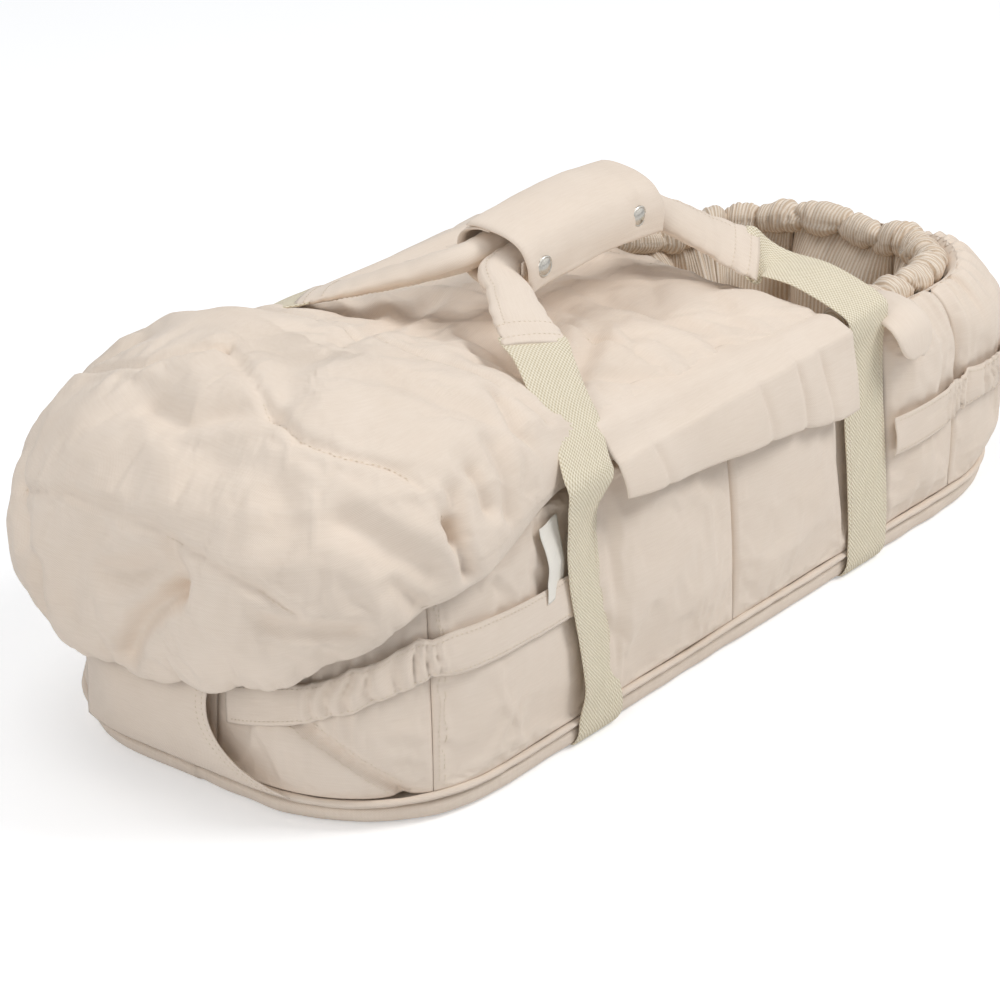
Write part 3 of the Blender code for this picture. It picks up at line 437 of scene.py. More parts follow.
# %% Base outline
HALF_LENGTH, HALF_WIDTH, CORNER_RADIUS = 0.385, 0.163, 0.112
straight_x = HALF_LENGTH - CORNER_RADIUS
straight_y = HALF_WIDTH - CORNER_RADIUS
corner_arc = CORNER_RADIUS * math.pi / 2
SIDE_START = straight_y + corner_arc
stretches = [straight_y, corner_arc, 2 * straight_x, corner_arc, 2 * straight_y, corner_arc, 2 * straight_x,
             corner_arc, straight_y]
stops = np.concatenate([[0], np.cumsum(stretches)])
PERIMETER = stops[-1]
HEAD_S = PERIMETER / 2
line_s = np.linspace(0, PERIMETER, 2881)
line_angle = np.radians(np.interp(line_s, stops, [180, 180, 270, 270, 360, 360, 450, 450, 540, 540]))
line_normal = np.stack([np.cos(line_angle), np.sin(line_angle)], -1)
centre_x = straight_x * np.array([-1, -1, -1, 1, 1, 1, 1, -1, -1, -1])
centre_y = straight_y * np.array([0, -1, -1, -1, -1, 1, 1, 1, 1, 0])
line_point = np.stack([np.interp(line_s, stops, centre_x), np.interp(line_s, stops, centre_y)], -1)
line_point = line_point + CORNER_RADIUS * line_normal


def side_s(x, side=-1):
    """Arc length of a point at x on the straight near (-1) or far (+1) side."""
    s = SIDE_START + x + straight_x
    return s if side < 0 else PERIMETER - s


def plan(s):
    """Point and outward normal of the outline at arc length s."""
    s = np.mod(s, PERIMETER)
    point = np.stack([np.interp(s, line_s, line_point[:, k]) for k in range(2)], -1)
    return point, unit(np.stack([np.interp(s, line_s, line_normal[:, k]) for k in range(2)], -1))


def wall_points(s, depth, z):
    """The outline's point moved inwards by depth, at height z; the arguments broadcast."""
    s, depth, z = np.broadcast_arrays(np.asarray(s, float), depth, z)
    point, normal = plan(s)
    return np.concatenate([point - normal * depth[..., None], z[..., None]], -1)


print("outline", round(PERIMETER, 3), "m round")

# %% [markdown]
# Padded cloth is puffed up by a short cloth simulation. All grids go into one mesh: the seams are
# pinned, a little pressure swells the cloth between them, and some slack lets it pucker where it is
# held. How far a point may move is capped, so that no piece grows into its neighbour.

# %% Cloth simulation
SIM_FRAMES = 20


def inflate(parts, pressure, slack, cap):
    """Swell meshes between their held points. A part is its points, faces and how firmly each point
    is held, from 0 to 1. The moved points come back as one array per part."""
    starts = np.concatenate([[0], np.cumsum([len(part[0]) for part in parts])])
    points = np.concatenate([part[0] for part in parts])
    mesh = bpy.data.meshes.new("swelling")
    mesh.from_pydata(points, [], [face for part, start in zip(parts, starts)
                                  for face in polygons(part[1] + start)])
    obj = bpy.data.objects.new("swelling", mesh)
    scene.collection.objects.link(obj)
    group = obj.vertex_groups.new(name="held")
    weights = np.round(np.concatenate([part[2] for part in parts]), 1)
    for level in np.unique(weights[weights > 0]):
        group.add(np.flatnonzero(weights == level).tolist(), float(level), "REPLACE")
    modifier = obj.modifiers.new("Cloth", "CLOTH")
    settings = modifier.settings
    settings.quality = 4
    settings.mass = 0.2
    settings.bending_stiffness = 0.35
    settings.shrink_min = -slack
    settings.use_pressure = True
    settings.uniform_pressure_force = pressure
    settings.effector_weights.gravity = 0
    settings.vertex_group_mass = "held"
    modifier.collision_settings.use_collision = False
    modifier.point_cache.frame_start = 1
    modifier.point_cache.frame_end = SIM_FRAMES
    for frame_number in range(1, SIM_FRAMES + 1):
        scene.frame_set(frame_number)
    result = obj.evaluated_get(bpy.context.evaluated_depsgraph_get()).data
    moved = np.empty(len(points) * 3, np.float32)
    result.vertices.foreach_get("co", moved)
    bpy.data.objects.remove(obj, do_unlink=True)
    scene.frame_set(1)
    shift = moved.reshape(-1, 3).astype(float) - points
    length = np.linalg.norm(shift, axis=1, keepdims=True)
    print("cloth moved", round(float(length.mean()) * 1000, 2), "mm on average, most",
          round(float(length.max()) * 1000, 1))
    points = points + shift * (cap * np.tanh(length / cap) / np.maximum(length, 1e-9))
    return [points[a:b] for a, b in zip(starts, starts[1:])]


def polygons(faces):
    """Rows of four indices as face tuples, without repeated neighbours."""
    return [tuple(v for k, v in enumerate(face) if v != face[k - 1]) for face in faces.tolist()]


def finer(grid):
    """Twice as many points each way, on smooth curves through the grid's lines."""
    rows, cols = grid.shape[:2]
    grid = curve_through(grid, 2 * rows - 1)
    return curve_through(grid.transpose(1, 0, 2), 2 * cols - 1).transpose(1, 0, 2)


# %% [markdown]
# The padded underside. The two runs of webbing lie in shallow grooves across it, so the base rests
# on cloth and webbing alike. Its outline shrinks towards the middle, ring by ring.

# %% Base
BASE_TOP = 0.016
STRAP_X = {"foot": -0.165, "head": 0.150}
WEBBING_WIDTH = 0.048
WEBBING_THICKNESS = 0.002
GROOVE_DEPTH = 0.0029

# The first rings are the flat underside, and the others turn up round the edge
edge_share = [0.965, 0.978, 0.988, 0.996, 1.0, 1.001, 0.999, 0.99, 0.97]
edge_z = [0.0006, 0.0016, 0.0030, 0.0055, 0.0085, 0.0115, 0.0140, 0.0152, BASE_TOP]
ring_share = np.concatenate([np.linspace(0.02, 0.95, 48), edge_share])
ring_z = np.concatenate([np.zeros(48), edge_z])
base_s = np.linspace(0, PERIMETER, 560, endpoint=False)
base_xy, base_normal = plan(base_s)
ring_xy = base_xy[None] * ring_share[:, None, None]
groove = sum(smoothstep(WEBBING_WIDTH / 2 + 0.004, WEBBING_WIDTH / 2 + 0.001, abs(ring_xy[..., 0] - x))
             for x in STRAP_X.values())
quilting = 0.0012 * (1 - np.abs(np.sin(ring_xy[..., 0] * math.pi / 0.09)) ** 0.4)
relief = np.where(ring_share[:, None] < 0.93, quilting, 0)
low = np.maximum(groove * GROOVE_DEPTH, relief * (1 - groove))
under_z = np.where(ring_z[:, None] < 0.008, np.maximum(ring_z[:, None], low), ring_z[:, None])
puckers = 0.0009 * soft_noise(base_s * 1.0, base_s * 0, 0.022, 3)
swell = np.where((ring_share > 0.97) & (ring_z < 0.015), 1, 0)[:, None] * puckers
rings = np.concatenate([ring_xy + base_normal[None] * swell[..., None], under_z[..., None]], -1)
tube("base", rings, CANVAS, replaces=["base_panel"])

# %% [markdown]
# The wall and the base meet in a flat piped seam. It is a narrow tube of canvas over a cord, with
# the small unevenness of a sewn edge.

# %% Piping
piping_s = np.linspace(0, PERIMETER, 640, endpoint=False)
around = np.arange(10) * TAU / 10
lumps = 1 + 0.10 * soft_noise(piping_s, piping_s * 0, 0.012, 5)
across = -0.0004 - 0.0031 * lumps[:, None] * np.cos(around)
rise = 0.0193 + 0.0026 * lumps[:, None] * np.sin(around) + 0.0005 * np.sin(piping_s * 40)[:, None]
tube("piping", wall_points(piping_s[:, None], across, rise), CANVAS, closed=True,
     replaces=["base_piping"])

# %% [markdown]
# A wall is a row of filled channels between upright seams. Each channel is a closed section, up the
# outside, over the top and down the inside, carried along the outline. It is fullest in its middle.
# Round the head opening the section arches over towards the gathered casing.

# %% Wall sections
WALL_FOOT = 0.0225
RIM_HEIGHT = 0.187
WALL_LEAN = 0.013
WALL_THICKNESS = 0.009
STRAP_GROOVE = WEBBING_WIDTH / 2 + 0.001
RIM_STATIONS = [-0.45, -0.324, -0.265, -0.150, -0.095, 0.0, 0.095, 0.150, 0.230, 0.265, 0.324, 0.45]
RIM_DEPTH = [0.024, 0.035, 0.042, 0.048, 0.044, 0.022, 0.046, 0.056, 0.060, 0.052, 0.038, 0.024]
RIM_Z = [0.180, 0.178, 0.171, 0.163, 0.157, 0.150, 0.146, 0.142, 0.142, 0.150, 0.165, 0.180]
CREST_RISE = [0.004, 0.004, 0.007, 0.010, 0.014, 0.002, -0.001, -0.002, -0.002, 0.000, 0.003, 0.004]
RING_RADIUS = 0.0105


def rim_line(s):
    """Depth and height of the casing's centre line, and how far the wall's crest is above it."""
    stations = np.linspace(-0.45, 0.45, 181)
    lines = [np.interp(stations, RIM_STATIONS, table) for table in (RIM_DEPTH, RIM_Z, CREST_RISE)]
    return [np.interp(np.mod(s, PERIMETER) - HEAD_S, stations, line) for line in averaged(lines, 5)]


def pleat_wave(s, period, seed):
    """Uneven pleats along s: sharp valleys and round crests, from 0 to 1, of a wandering period."""
    phase = s / period + 0.9 * soft_noise(s, s * 0, period * 2.6, seed)
    return 1 - np.abs(np.sin(math.pi * phase)) ** 0.7


def side_section(full, inner):
    """Depth and height round a straight channel, each row by how full it is there."""
    z_out = np.array([WALL_FOOT, 0.036, 0.070, 0.110, 0.145, 0.170, 0.182])
    t = (z_out - WALL_FOOT) / (RIM_HEIGHT - WALL_FOOT)
    out = WALL_LEAN * t ** 1.6 - full[:, None] * np.sin(math.pi * t) ** 0.6
    t_in = t[::-1]
    inside = WALL_LEAN * t_in + WALL_THICKNESS + inner[:, None] * np.sin(math.pi * t_in) ** 0.7
    top = np.full((len(full), 1), WALL_LEAN + WALL_THICKNESS / 2)
    z_in = z_out[::-1] - 0.001
    z_in[-1] = WALL_FOOT
    return np.concatenate([out, top, inside], 1), np.tile(np.concatenate([z_out, [RIM_HEIGHT], z_in]),
                                                          (len(full), 1))


def head_section(s, full, inner):
    """Depth and height round a channel at the head end: it puffs up and over towards the casing."""
    rim_depth, rim_z, rise = rim_line(s)
    lean = WALL_LEAN * (1 - smoothstep(0.028, 0.040, rim_depth))
    crest, lip = rim_z + rise, rim_depth - RING_RADIUS - 0.003
    reach = lip - lean
    zero = np.zeros_like(s)
    depth = [zero, 0.05 * lean - 0.6 * full, 0.2 * lean - 0.75 * full, 0.4 * lean - 0.8 * full,
             0.8 * lean - 0.7 * full, lean + 0.2 * reach - 0.35 * full, lean + 0.6 * reach - 0.15 * full,
             lip, lip + 0.004, lip + 0.007 + inner * 0.7, lip + 0.005 + inner, 0.024 + inner,
             zero + WALL_THICKNESS]
    z = [zero + WALL_FOOT, zero + 0.045, zero + 0.078, zero + 0.104, crest - 0.034, crest - 0.013,
         crest - 0.002 + 0.3 * full, np.minimum(crest, rim_z + 0.002) - 0.001, rim_z - RING_RADIUS - 0.004,
         rim_z - 0.034, rim_z - 0.062, zero + 0.050, zero + WALL_FOOT]
    return np.stack(depth, 1), np.stack(z, 1)


def near_half(s):
    """An arc length folded onto the near half of the outline."""
    return np.minimum(np.mod(s, PERIMETER), PERIMETER - np.mod(s, PERIMETER))


def gather_depth(s, z):
    """How far elastic draws the outer cloth in: pleats that fan down from the casing, and pleats on
    both sides of the waist bands at the rounded corners."""
    rim_depth, rim_z, rise = rim_line(s)
    below = np.clip(rim_z + np.maximum(rise, 0) + 0.004 - z, 0, 1)
    under_casing = smoothstep(0.33, 0.27, np.abs(np.mod(s, PERIMETER) - HEAD_S))
    fan = pleat_wave(s, 0.0105, 11) * np.exp(-below / 0.020) + 0.9 * pleat_wave(s, 0.024, 12) * np.exp(
        -below / 0.050)
    folded = near_half(s)
    at_band = np.exp(-np.abs(z - (band_low(folded) + 0.015)) / 0.016)
    gathered = 1.5 * smoothstep(0.06, 0.09, folded) * smoothstep(0.21, 0.17, folded)
    gathered = gathered + smoothstep(side_s(0.20), side_s(0.25), folded)
    off_seam = from_seam(s, z)
    seam = 0.0060 * np.exp(-(off_seam / 0.008) ** 1.1) + 0.0030 * np.exp(-(off_seam / 0.0030) ** 1.5)
    return under_casing * 0.0052 * fan + 0.0034 * gathered * at_band * pleat_wave(s, 0.013, 13) + seam


DIAGONAL_SEAM = [(0.071, 0.086), (0.075, 0.083), (0.114, 0.059), (0.151, 0.028), (0.155, 0.0235)]
BAND_STATIONS = [0.03, 0.093, 0.13, 0.168, 0.215, side_s(-0.19), side_s(0.18), side_s(0.24)]
BAND_LOW = [0.061, 0.079, 0.094, 0.106, 0.108, 0.103, 0.082, 0.086]


def from_seam(s, z):
    """Distance on the wall to the slanting seam of the foot corner."""
    s = near_half(s)
    nearest = np.full(np.broadcast(s, z).shape, 9.0)
    for (s0, z0), (s1, z1) in zip(DIAGONAL_SEAM, DIAGONAL_SEAM[1:]):
        run, rise = s1 - s0, z1 - z0
        along = np.clip(((s - s0) * run + (z - z0) * rise) / (run ** 2 + rise ** 2), 0, 1)
        nearest = np.minimum(nearest, np.hypot(s - s0 - along * run, z - z0 - along * rise))
    return nearest


def band_low(folded):
    """Height of a waist band's lower edge at an arc length folded onto the near half."""
    return np.interp(folded, BAND_STATIONS, BAND_LOW)


STEP = 0.0036


def channel(s0, s1, at_head, puff, inner, flat):
    """Grid of a channel between two seams, and the weights that pin its seams, foot and lip."""
    rows = max(12, round((s1 - s0) / STEP))
    s = np.linspace(s0 + 0.0003, s1 - 0.0003, rows)
    u = np.linspace(0, 1, rows)
    round_share = np.clip((u - flat[0]) / (1 - flat[0] - flat[1]), 0, 1)
    full = puff * np.sin(math.pi * round_share) ** 0.6
    hollow = inner * np.sin(math.pi * round_share) ** 0.6
    depth, z = head_section(s, full, hollow) if at_head else side_section(full, hollow)
    across = round(np.abs(np.diff(z, axis=1)).sum(1).mean() / STEP) // 2 * 2
    depth, z = curve_through(depth.T, across).T, curve_through(z.T, across).T
    z = np.maximum(z, WALL_FOOT)
    outside = (np.arange(across) < across * 0.52)[None]
    grid_s = np.broadcast_to(s[:, None], depth.shape)
    edge = np.minimum(u, 1 - u)[:, None]
    soft = 0.0009 * soft_noise(grid_s, z, 0.035, 7) * smoothstep(0, 0.15, edge)
    drawn_in = gather_depth(grid_s, z)
    depth = depth + outside * (drawn_in - soft)
    if at_head:
        z = z - 0.8 * outside * drawn_in * smoothstep(0.10, 0.15, z)
    held = (edge * rows < 1.2) | (z < WALL_FOOT + 0.002)
    lip = np.argmax(z.mean(0))
    held = held | (np.abs(np.arange(across) - lip) < 3)[None]
    return wall_points(grid_s, depth, z), held.astype(float)


# %% [markdown]
# Six channels go down each side and one across each end. A channel stays flat where the webbing lies
# on it, apart from the foot channel, whose stuffing lifts the strap's edge. All of them swell together in
# one simulation. The finished walls are kept in a search tree, so that bands can be laid on them.

# %% Walls
CORNER_SEAM_FOOT = SIDE_START - 0.052
CORNER_SEAM_HEAD = side_s(0.262)
CORNER_END_FOOT = 0.018
CORNER_END_HEAD = HEAD_S - 0.062
FULL_PUFF, FOOT_PUFF, FOOT_END_PUFF, INNER_PUFF = 0.0160, 0.0100, 0.004, 0.010
FOOT_STRAP_S, HEAD_STRAP_S = side_s(STRAP_X["foot"]), side_s(STRAP_X["head"] + STRAP_GROOVE)
MIDDLE_SEAM_S = side_s(-0.008)
# Each channel: its two seams, whether the casing crosses it, its fullness, and its flat shares
spans = {
    "foot_side": (CORNER_SEAM_FOOT, FOOT_STRAP_S, False, FOOT_PUFF, (0.0, 0.03)),
    "middle_foot_side": (FOOT_STRAP_S, MIDDLE_SEAM_S, False, FULL_PUFF, (0.15, 0.0)),
    "middle_head_side": (MIDDLE_SEAM_S, HEAD_STRAP_S, False, FULL_PUFF, (0.0, 0.28)),
    "head_side": (HEAD_STRAP_S, CORNER_SEAM_HEAD, True, FULL_PUFF, (0.0, 0.0)),
    "head_corner": (CORNER_SEAM_HEAD, CORNER_END_HEAD, True, FULL_PUFF, (0.0, 0.0)),
    "foot_corner": (CORNER_END_FOOT, CORNER_SEAM_FOOT, False, FOOT_PUFF, (0.0, 0.0)),
}
channels = {}
for label, (a, b, at_head, puff, flat) in spans.items():
    channels[f"{label}_near"] = channel(a, b, at_head, puff, INNER_PUFF, flat)
    channels[f"{label}_far"] = channel(PERIMETER - b, PERIMETER - a, at_head, puff, INNER_PUFF, flat[::-1])
channels["head_end"] = channel(CORNER_END_HEAD, PERIMETER - CORNER_END_HEAD, True, FULL_PUFF, INNER_PUFF,
                               (0.0, 0.0))
channels["foot_end"] = channel(-CORNER_END_FOOT, CORNER_END_FOOT, False, FOOT_END_PUFF, INNER_PUFF,
                               (0.0, 0.0))
parts = [(grid.reshape(-1, 3), quads(*grid.shape[:2]), held.ravel()) for grid, held in channels.values()]
swollen = inflate(parts, pressure=2.0, slack=0.014, cap=0.004)
tree_points, tree_faces = [], []
for (label, (grid, _)), moved in zip(channels.items(), swollen):
    wall = tube(f"quilted_{label}", finer(moved.reshape(grid.shape)), CANVAS,
                replaces=[f"wall_{label}"])
    tree_faces += polygons(quads(*grid.shape[:2]) + sum(len(found) for found in tree_points))
    tree_points.append(moved)
wall_tree = BVHTree.FromPolygons(np.concatenate(tree_points).tolist(), tree_faces)
print(len(channels), "channels")


RAY_START = 0.06


def wall_depth(s, z, soften=7):
    """Depth of the finished wall at a grid of arc lengths and heights, found by rays from outside. The
    outermost of the neighbours counts, and then an average, because a tight band bridges the seams."""
    start = wall_points(s, 0 * z - RAY_START, z)
    _, normal = plan(s.ravel())
    found = np.zeros(s.size)
    for k, (origin, out) in enumerate(zip(start.reshape(-1, 3), normal)):
        _, _, _, far = wall_tree.ray_cast(Vector(origin), Vector((-out[0], -out[1], 0)))
        found[k] = 0 if far is None else far - RAY_START
    found = found.reshape(s.shape)
    wide = np.pad(found, ((soften, soften), (0, 0)), mode="edge")
    found = np.min([wide[k:k + len(found)] for k in range(2 * soften + 1)], axis=0)
    return averaged(found.T, soften + 1).T

# %% [markdown]
# The cover is a padded footmuff. It bulges over the foot end and ends in a straight edge across the
# body. Lines run from its elastic hem up to a spine along the middle. Where lines meet at the spine
# their points are welded, so the dome closes without a pole.

# %% Welded surfaces
def weld(points, faces):
    """Merge points closer than 0.02 mm, and drop the faces that this collapses. The indices of the
    points that stay come first."""
    _, first, index = np.unique(np.round(points / 2e-5).astype(np.int64), axis=0, return_index=True,
                                return_inverse=True)
    faces = index.ravel()[faces]
    different = (faces[:, 0] != faces[:, 1]) | (faces[:, 2] != faces[:, 3])
    return first, faces[different]


def point_normals(points, faces):
    """Area-weighted mean of the normals of the faces round each point."""
    cross = np.cross(points[faces[:, 2]] - points[faces[:, 0]], points[faces[:, 3]] - points[faces[:, 1]])
    total = np.zeros_like(points)
    for k in range(4):
        np.add.at(total, faces[:, k], cross)
    return unit(total)


def fold(points, path, width, depth):
    """Depth of a fold at each point: depth * exp(-(distance to the path / width)^2). The corners of
    the path are moved onto the surface first."""
    path = np.array([points[np.argmin(np.linalg.norm(points - corner, axis=1))] for corner in path])
    nearest = np.full(len(points), 9.0)
    for a, b in zip(path, path[1:]):
        along = np.clip(((points - a) @ (b - a)) / ((b - a) @ (b - a)), 0, 1)
        nearest = np.minimum(nearest, np.linalg.norm(points - a - along[:, None] * (b - a), axis=1))
    return depth * np.exp(-(nearest / width) ** 2)


COVER_HEAD_X, SPINE_FOOT_X, COVER_THICKNESS = 0.118, -0.250, 0.005
HEM_SHARE = 0.3
SPINE_X = [SPINE_FOOT_X, -0.200, -0.135, 0.000, COVER_HEAD_X]
SPINE_Z = [0.278, 0.264, 0.241, 0.223, 0.206]
BAG_STATIONS = [0.0, 0.04, 0.085, 0.122, 0.16, 0.20, SIDE_START, side_s(-0.225), side_s(-0.196)]
BAG_NEAR = {
    "low": [0.086, 0.094, 0.112, 0.138, 0.160, 0.172, 0.178, 0.190, 0.194],
    "bulge": [0.046, 0.046, 0.045, 0.040, 0.033, 0.027, 0.023, 0.012, 0.004],
    "tuck": [0.022, 0.022, 0.018, 0.014, 0.010, 0.007, 0.005, 0.002, 0.0],
    "equator": [0.150, 0.151, 0.157, 0.173, 0.187, 0.194, 0.197, 0.199, 0.199],
}
BAG_FAR = {
    "low": [0.086, 0.084, 0.087, 0.096, 0.112, 0.132, 0.147, 0.178, 0.194],
    "bulge": [0.046, 0.048, 0.049, 0.048, 0.044, 0.036, 0.030, 0.014, 0.004],
    "tuck": [0.022, 0.022, 0.020, 0.018, 0.015, 0.012, 0.009, 0.003, 0.0],
    "equator": [0.150, 0.147, 0.145, 0.146, 0.152, 0.162, 0.170, 0.192, 0.199],
}
BOTH_STATIONS = [-s for s in BAG_STATIONS[:0:-1]] + BAG_STATIONS


def eased_table(value, stations, table):
    """A table read with straight lines, then averaged over a few stations so that it has no kinks."""
    fine = np.linspace(stations[0], stations[-1], 240)
    line = np.interp(fine, stations, table)[None]
    return np.interp(value, fine, averaged(line, 10)[0])


def cover_surface(s, v):
    """A point of the cover. v below HEM_SHARE is the quarter turn from the hem out to the widest
    line, and above it reach = cos^0.8 and height = sin carry the surface up and in to the spine."""
    s = np.asarray(s, float)
    signed = np.mod(s + PERIMETER / 2, PERIMETER) - PERIMETER / 2
    low, bulge, equator, tuck = (eased_table(signed, BOTH_STATIONS, BAG_FAR[name][:0:-1] + BAG_NEAR[name])
                                 for name in ("low", "bulge", "equator", "tuck"))
    point, normal = plan(s)
    spine_x = np.clip(point[:, 0], SPINE_FOOT_X, COVER_HEAD_X)
    spine_z = eased_table(spine_x, SPINE_X, SPINE_Z)
    lean = WALL_LEAN * smoothstep(0.168, 0.2, equator)
    widest = point + normal * (bulge - lean)[:, None]
    spine = np.stack([spine_x, np.zeros_like(spine_x)], -1)
    below = np.clip(v / HEM_SHARE, 0, 1) * math.pi / 2
    above = np.clip((v - HEM_SHARE) / (1 - HEM_SHARE), 0, 1) * math.pi / 2
    flat = spine + (widest - spine) * (np.cos(above) ** 0.8)[:, None]
    flat = flat - normal * (tuck * (1 - np.sin(below)))[:, None]
    z = np.where(v < HEM_SHARE, low + (equator - low) * (1 - np.cos(below)) ** 0.8,
                 equator + (spine_z - equator) * np.sin(above))
    return np.concatenate([flat, z[:, None]], -1)


# %% [markdown]
# The photograph's folds and quilting seams, as lines in space. A seam is narrow and pulls the cloth
# down sharply, with the padding rising on both sides. A fold is wider and softer. Each one has its width
# and depth in metres, and the far side gets the same kind of folds at other places. The elastic gathers
# the hem round the foot end. A seam, a deep fold, the hem and the part under a flap are held when the
# cloth swells.

# %% Cover folds
SEAMS = [
    [(-0.391, 0.142, 0.177), (-0.400, 0.131, 0.184), (-0.413, 0.071, 0.203), (-0.414, 0.001, 0.202),
     (-0.417, -0.055, 0.193), (-0.417, -0.089, 0.187), (-0.412, -0.111, 0.175)],
    [(-0.300, 0.040, 0.272), (-0.340, -0.034, 0.263), (-0.347, -0.063, 0.258), (-0.344, -0.090, 0.255),
     (-0.327, -0.125, 0.248), (-0.315, -0.157, 0.218)],
    [(-0.300, 0.040, 0.272), (-0.330, 0.085, 0.255), (-0.325, 0.130, 0.240), (-0.315, 0.165, 0.215)],
    [(-0.185, -0.135, 0.232), (-0.200, -0.080, 0.252), (-0.205, 0.0, 0.266), (-0.200, 0.080, 0.252),
     (-0.185, 0.135, 0.232)],
    [(-0.050, -0.150, 0.208), (-0.050, -0.080, 0.222), (-0.048, 0.0, 0.229), (-0.050, 0.080, 0.222),
     (-0.050, 0.150, 0.208)],
]
FOLDS = [
    ([(-0.358, 0.056, 0.255), (-0.363, 0.018, 0.253), (-0.347, -0.009, 0.259),
      (-0.340, -0.034, 0.263)], 0.0100, 0.0070),
    ([(-0.315, -0.157, 0.218), (-0.316, -0.167, 0.205), (-0.311, -0.172, 0.185)], 0.0060, 0.0110),
    ([(-0.304, -0.154, 0.232), (-0.316, -0.164, 0.210)], 0.0065, 0.0080),
    ([(-0.426, 0.037, 0.166), (-0.424, 0.018, 0.169), (-0.420, -0.005, 0.181)], 0.0110, 0.0100),
    ([(-0.416, -0.014, 0.191), (-0.420, -0.027, 0.179), (-0.422, -0.022, 0.167)], 0.0080, 0.0090),
    ([(-0.422, -0.022, 0.167), (-0.424, 0.002, 0.143), (-0.425, 0.018, 0.117),
      (-0.420, 0.029, 0.100)], 0.0080, 0.0130),
    ([(-0.418, -0.096, 0.169), (-0.409, -0.122, 0.166), (-0.388, -0.142, 0.162)], 0.0070, 0.0070),
    ([(-0.372, -0.120, 0.233), (-0.360, -0.151, 0.212), (-0.339, -0.167, 0.192)], 0.0120, 0.0080),
    ([(-0.262, -0.008, 0.277), (-0.305, -0.014, 0.273), (-0.322, -0.032, 0.270)], 0.0110, 0.0045),
    ([(-0.206, -0.108, 0.247), (-0.217, -0.134, 0.236), (-0.205, -0.150, 0.220)], 0.0070, 0.0080),
    ([(-0.281, -0.152, 0.240), (-0.281, -0.168, 0.219)], 0.0070, 0.0075),
    ([(-0.250, -0.140, 0.240), (-0.262, -0.168, 0.205)], 0.0080, 0.0065),
    ([(-0.235, -0.120, 0.247), (-0.255, -0.100, 0.254), (-0.262, -0.070, 0.262)], 0.0090, 0.0040),
    ([(-0.350, -0.166, 0.170), (-0.362, -0.150, 0.190)], 0.0070, 0.0060),
    ([(-0.385, -0.090, 0.222), (-0.372, -0.060, 0.240), (-0.376, -0.020, 0.240)], 0.0120, 0.0035),
    ([(-0.428, 0.070, 0.130), (-0.426, 0.060, 0.165), (-0.420, 0.040, 0.190)], 0.0100, 0.0065),
    ([(-0.415, 0.100, 0.110), (-0.418, 0.100, 0.150)], 0.0090, 0.0080),
    ([(-0.080, 0.049, 0.233), (-0.178, 0.012, 0.255), (-0.240, -0.004, 0.274)], 0.0090, 0.0060),
    ([(-0.161, -0.128, 0.240), (-0.110, -0.100, 0.228), (-0.034, -0.064, 0.225)], 0.0080, 0.0060),
    ([(-0.150, -0.050, 0.240), (-0.090, -0.110, 0.222), (-0.040, -0.150, 0.206)], 0.0080, 0.0050),
    ([(0.015, -0.150, 0.204), (0.030, -0.090, 0.216), (0.020, -0.030, 0.222)], 0.0090, 0.0045),
    ([(-0.118, -0.018, 0.239), (-0.130, -0.060, 0.240), (-0.150, -0.100, 0.240)], 0.0080, 0.0045),
    ([(-0.405, 0.110, 0.160), (-0.380, 0.150, 0.190)], 0.0100, 0.0080),
    ([(-0.330, 0.180, 0.170), (-0.320, 0.170, 0.215), (-0.290, 0.130, 0.245)], 0.0100, 0.0085),
    ([(-0.260, 0.165, 0.205), (-0.230, 0.120, 0.240)], 0.0090, 0.0070),
    ([(-0.050, 0.150, 0.205), (-0.110, 0.090, 0.232), (-0.150, 0.050, 0.244)], 0.0100, 0.0050),
    ([(0.060, 0.140, 0.202), (0.040, 0.080, 0.217), (0.060, 0.020, 0.214)], 0.0100, 0.0040),
]

edge_x = np.linspace(COVER_HEAD_X, -0.200, 88)
near_edge = side_s(edge_x)
BAG_END_S = side_s(-0.2025)
stations = np.concatenate([-near_edge, -np.linspace(BAG_END_S, 0, 118),
                           np.linspace(0, BAG_END_S, 118)[1:], near_edge[::-1]])
rows_v = np.concatenate([np.linspace(0, HEM_SHARE, 22)[:-1],
                         1 - (1 - HEM_SHARE) * np.linspace(1, 0, 66) ** 1.25])
grid_s, grid_v = (grid.ravel() for grid in np.meshgrid(stations, rows_v, indexing="ij"))
cover_points = cover_surface(grid_s, grid_v)
folded_s = np.abs(grid_s)
at_foot = smoothstep(side_s(-0.19), side_s(-0.26), folded_s)
at_foot = at_foot * (1 - 0.8 * smoothstep(0.14, 0.22, folded_s))
gathers = 0.0020 * np.exp(-grid_v / 0.09) * at_foot * pleat_wave(grid_s, 0.021, 21)
gathers += 0.0062 * np.exp(-grid_v / 0.22) * at_foot * pleat_wave(grid_s, 0.058, 22)
short_side = smoothstep(0.14, 0.20, folded_s)
at_hem = grid_v < 0.03 + 0.27 * short_side
at_head = folded_s > side_s(COVER_HEAD_X) - 0.003
beside_flap = (folded_s > side_s(-0.19)) & (grid_v < 0.25)
pinned = (at_hem | at_head | beside_flap) * 1.0
sink = sum(fold(cover_points, path, 0.0050, 0.0034) for path in SEAMS)
sink = sink + sum(fold(cover_points, path, 0.0018, 0.0012) for path in SEAMS)
sink = sink + sum(fold(cover_points, *line) for line in FOLDS)
pinned = np.maximum(pinned, np.clip(sink / 0.004, 0, 1) * 0.9)
x, y, z = cover_points.T
swell = 0.0034 * soft_noise(x, y + z, 0.052, 31)
swell += 0.0014 * soft_noise(x + z, y, 0.024, 32)
swell += 0.0016 * (1 - 2 * np.abs(soft_noise(x * 0.7 + y, z, 0.036, 33)))
swell *= smoothstep(0.02, 0.2, grid_v)
ridge = sum(fold(cover_points, path, 0.020, 0.0020) for path in SEAMS)
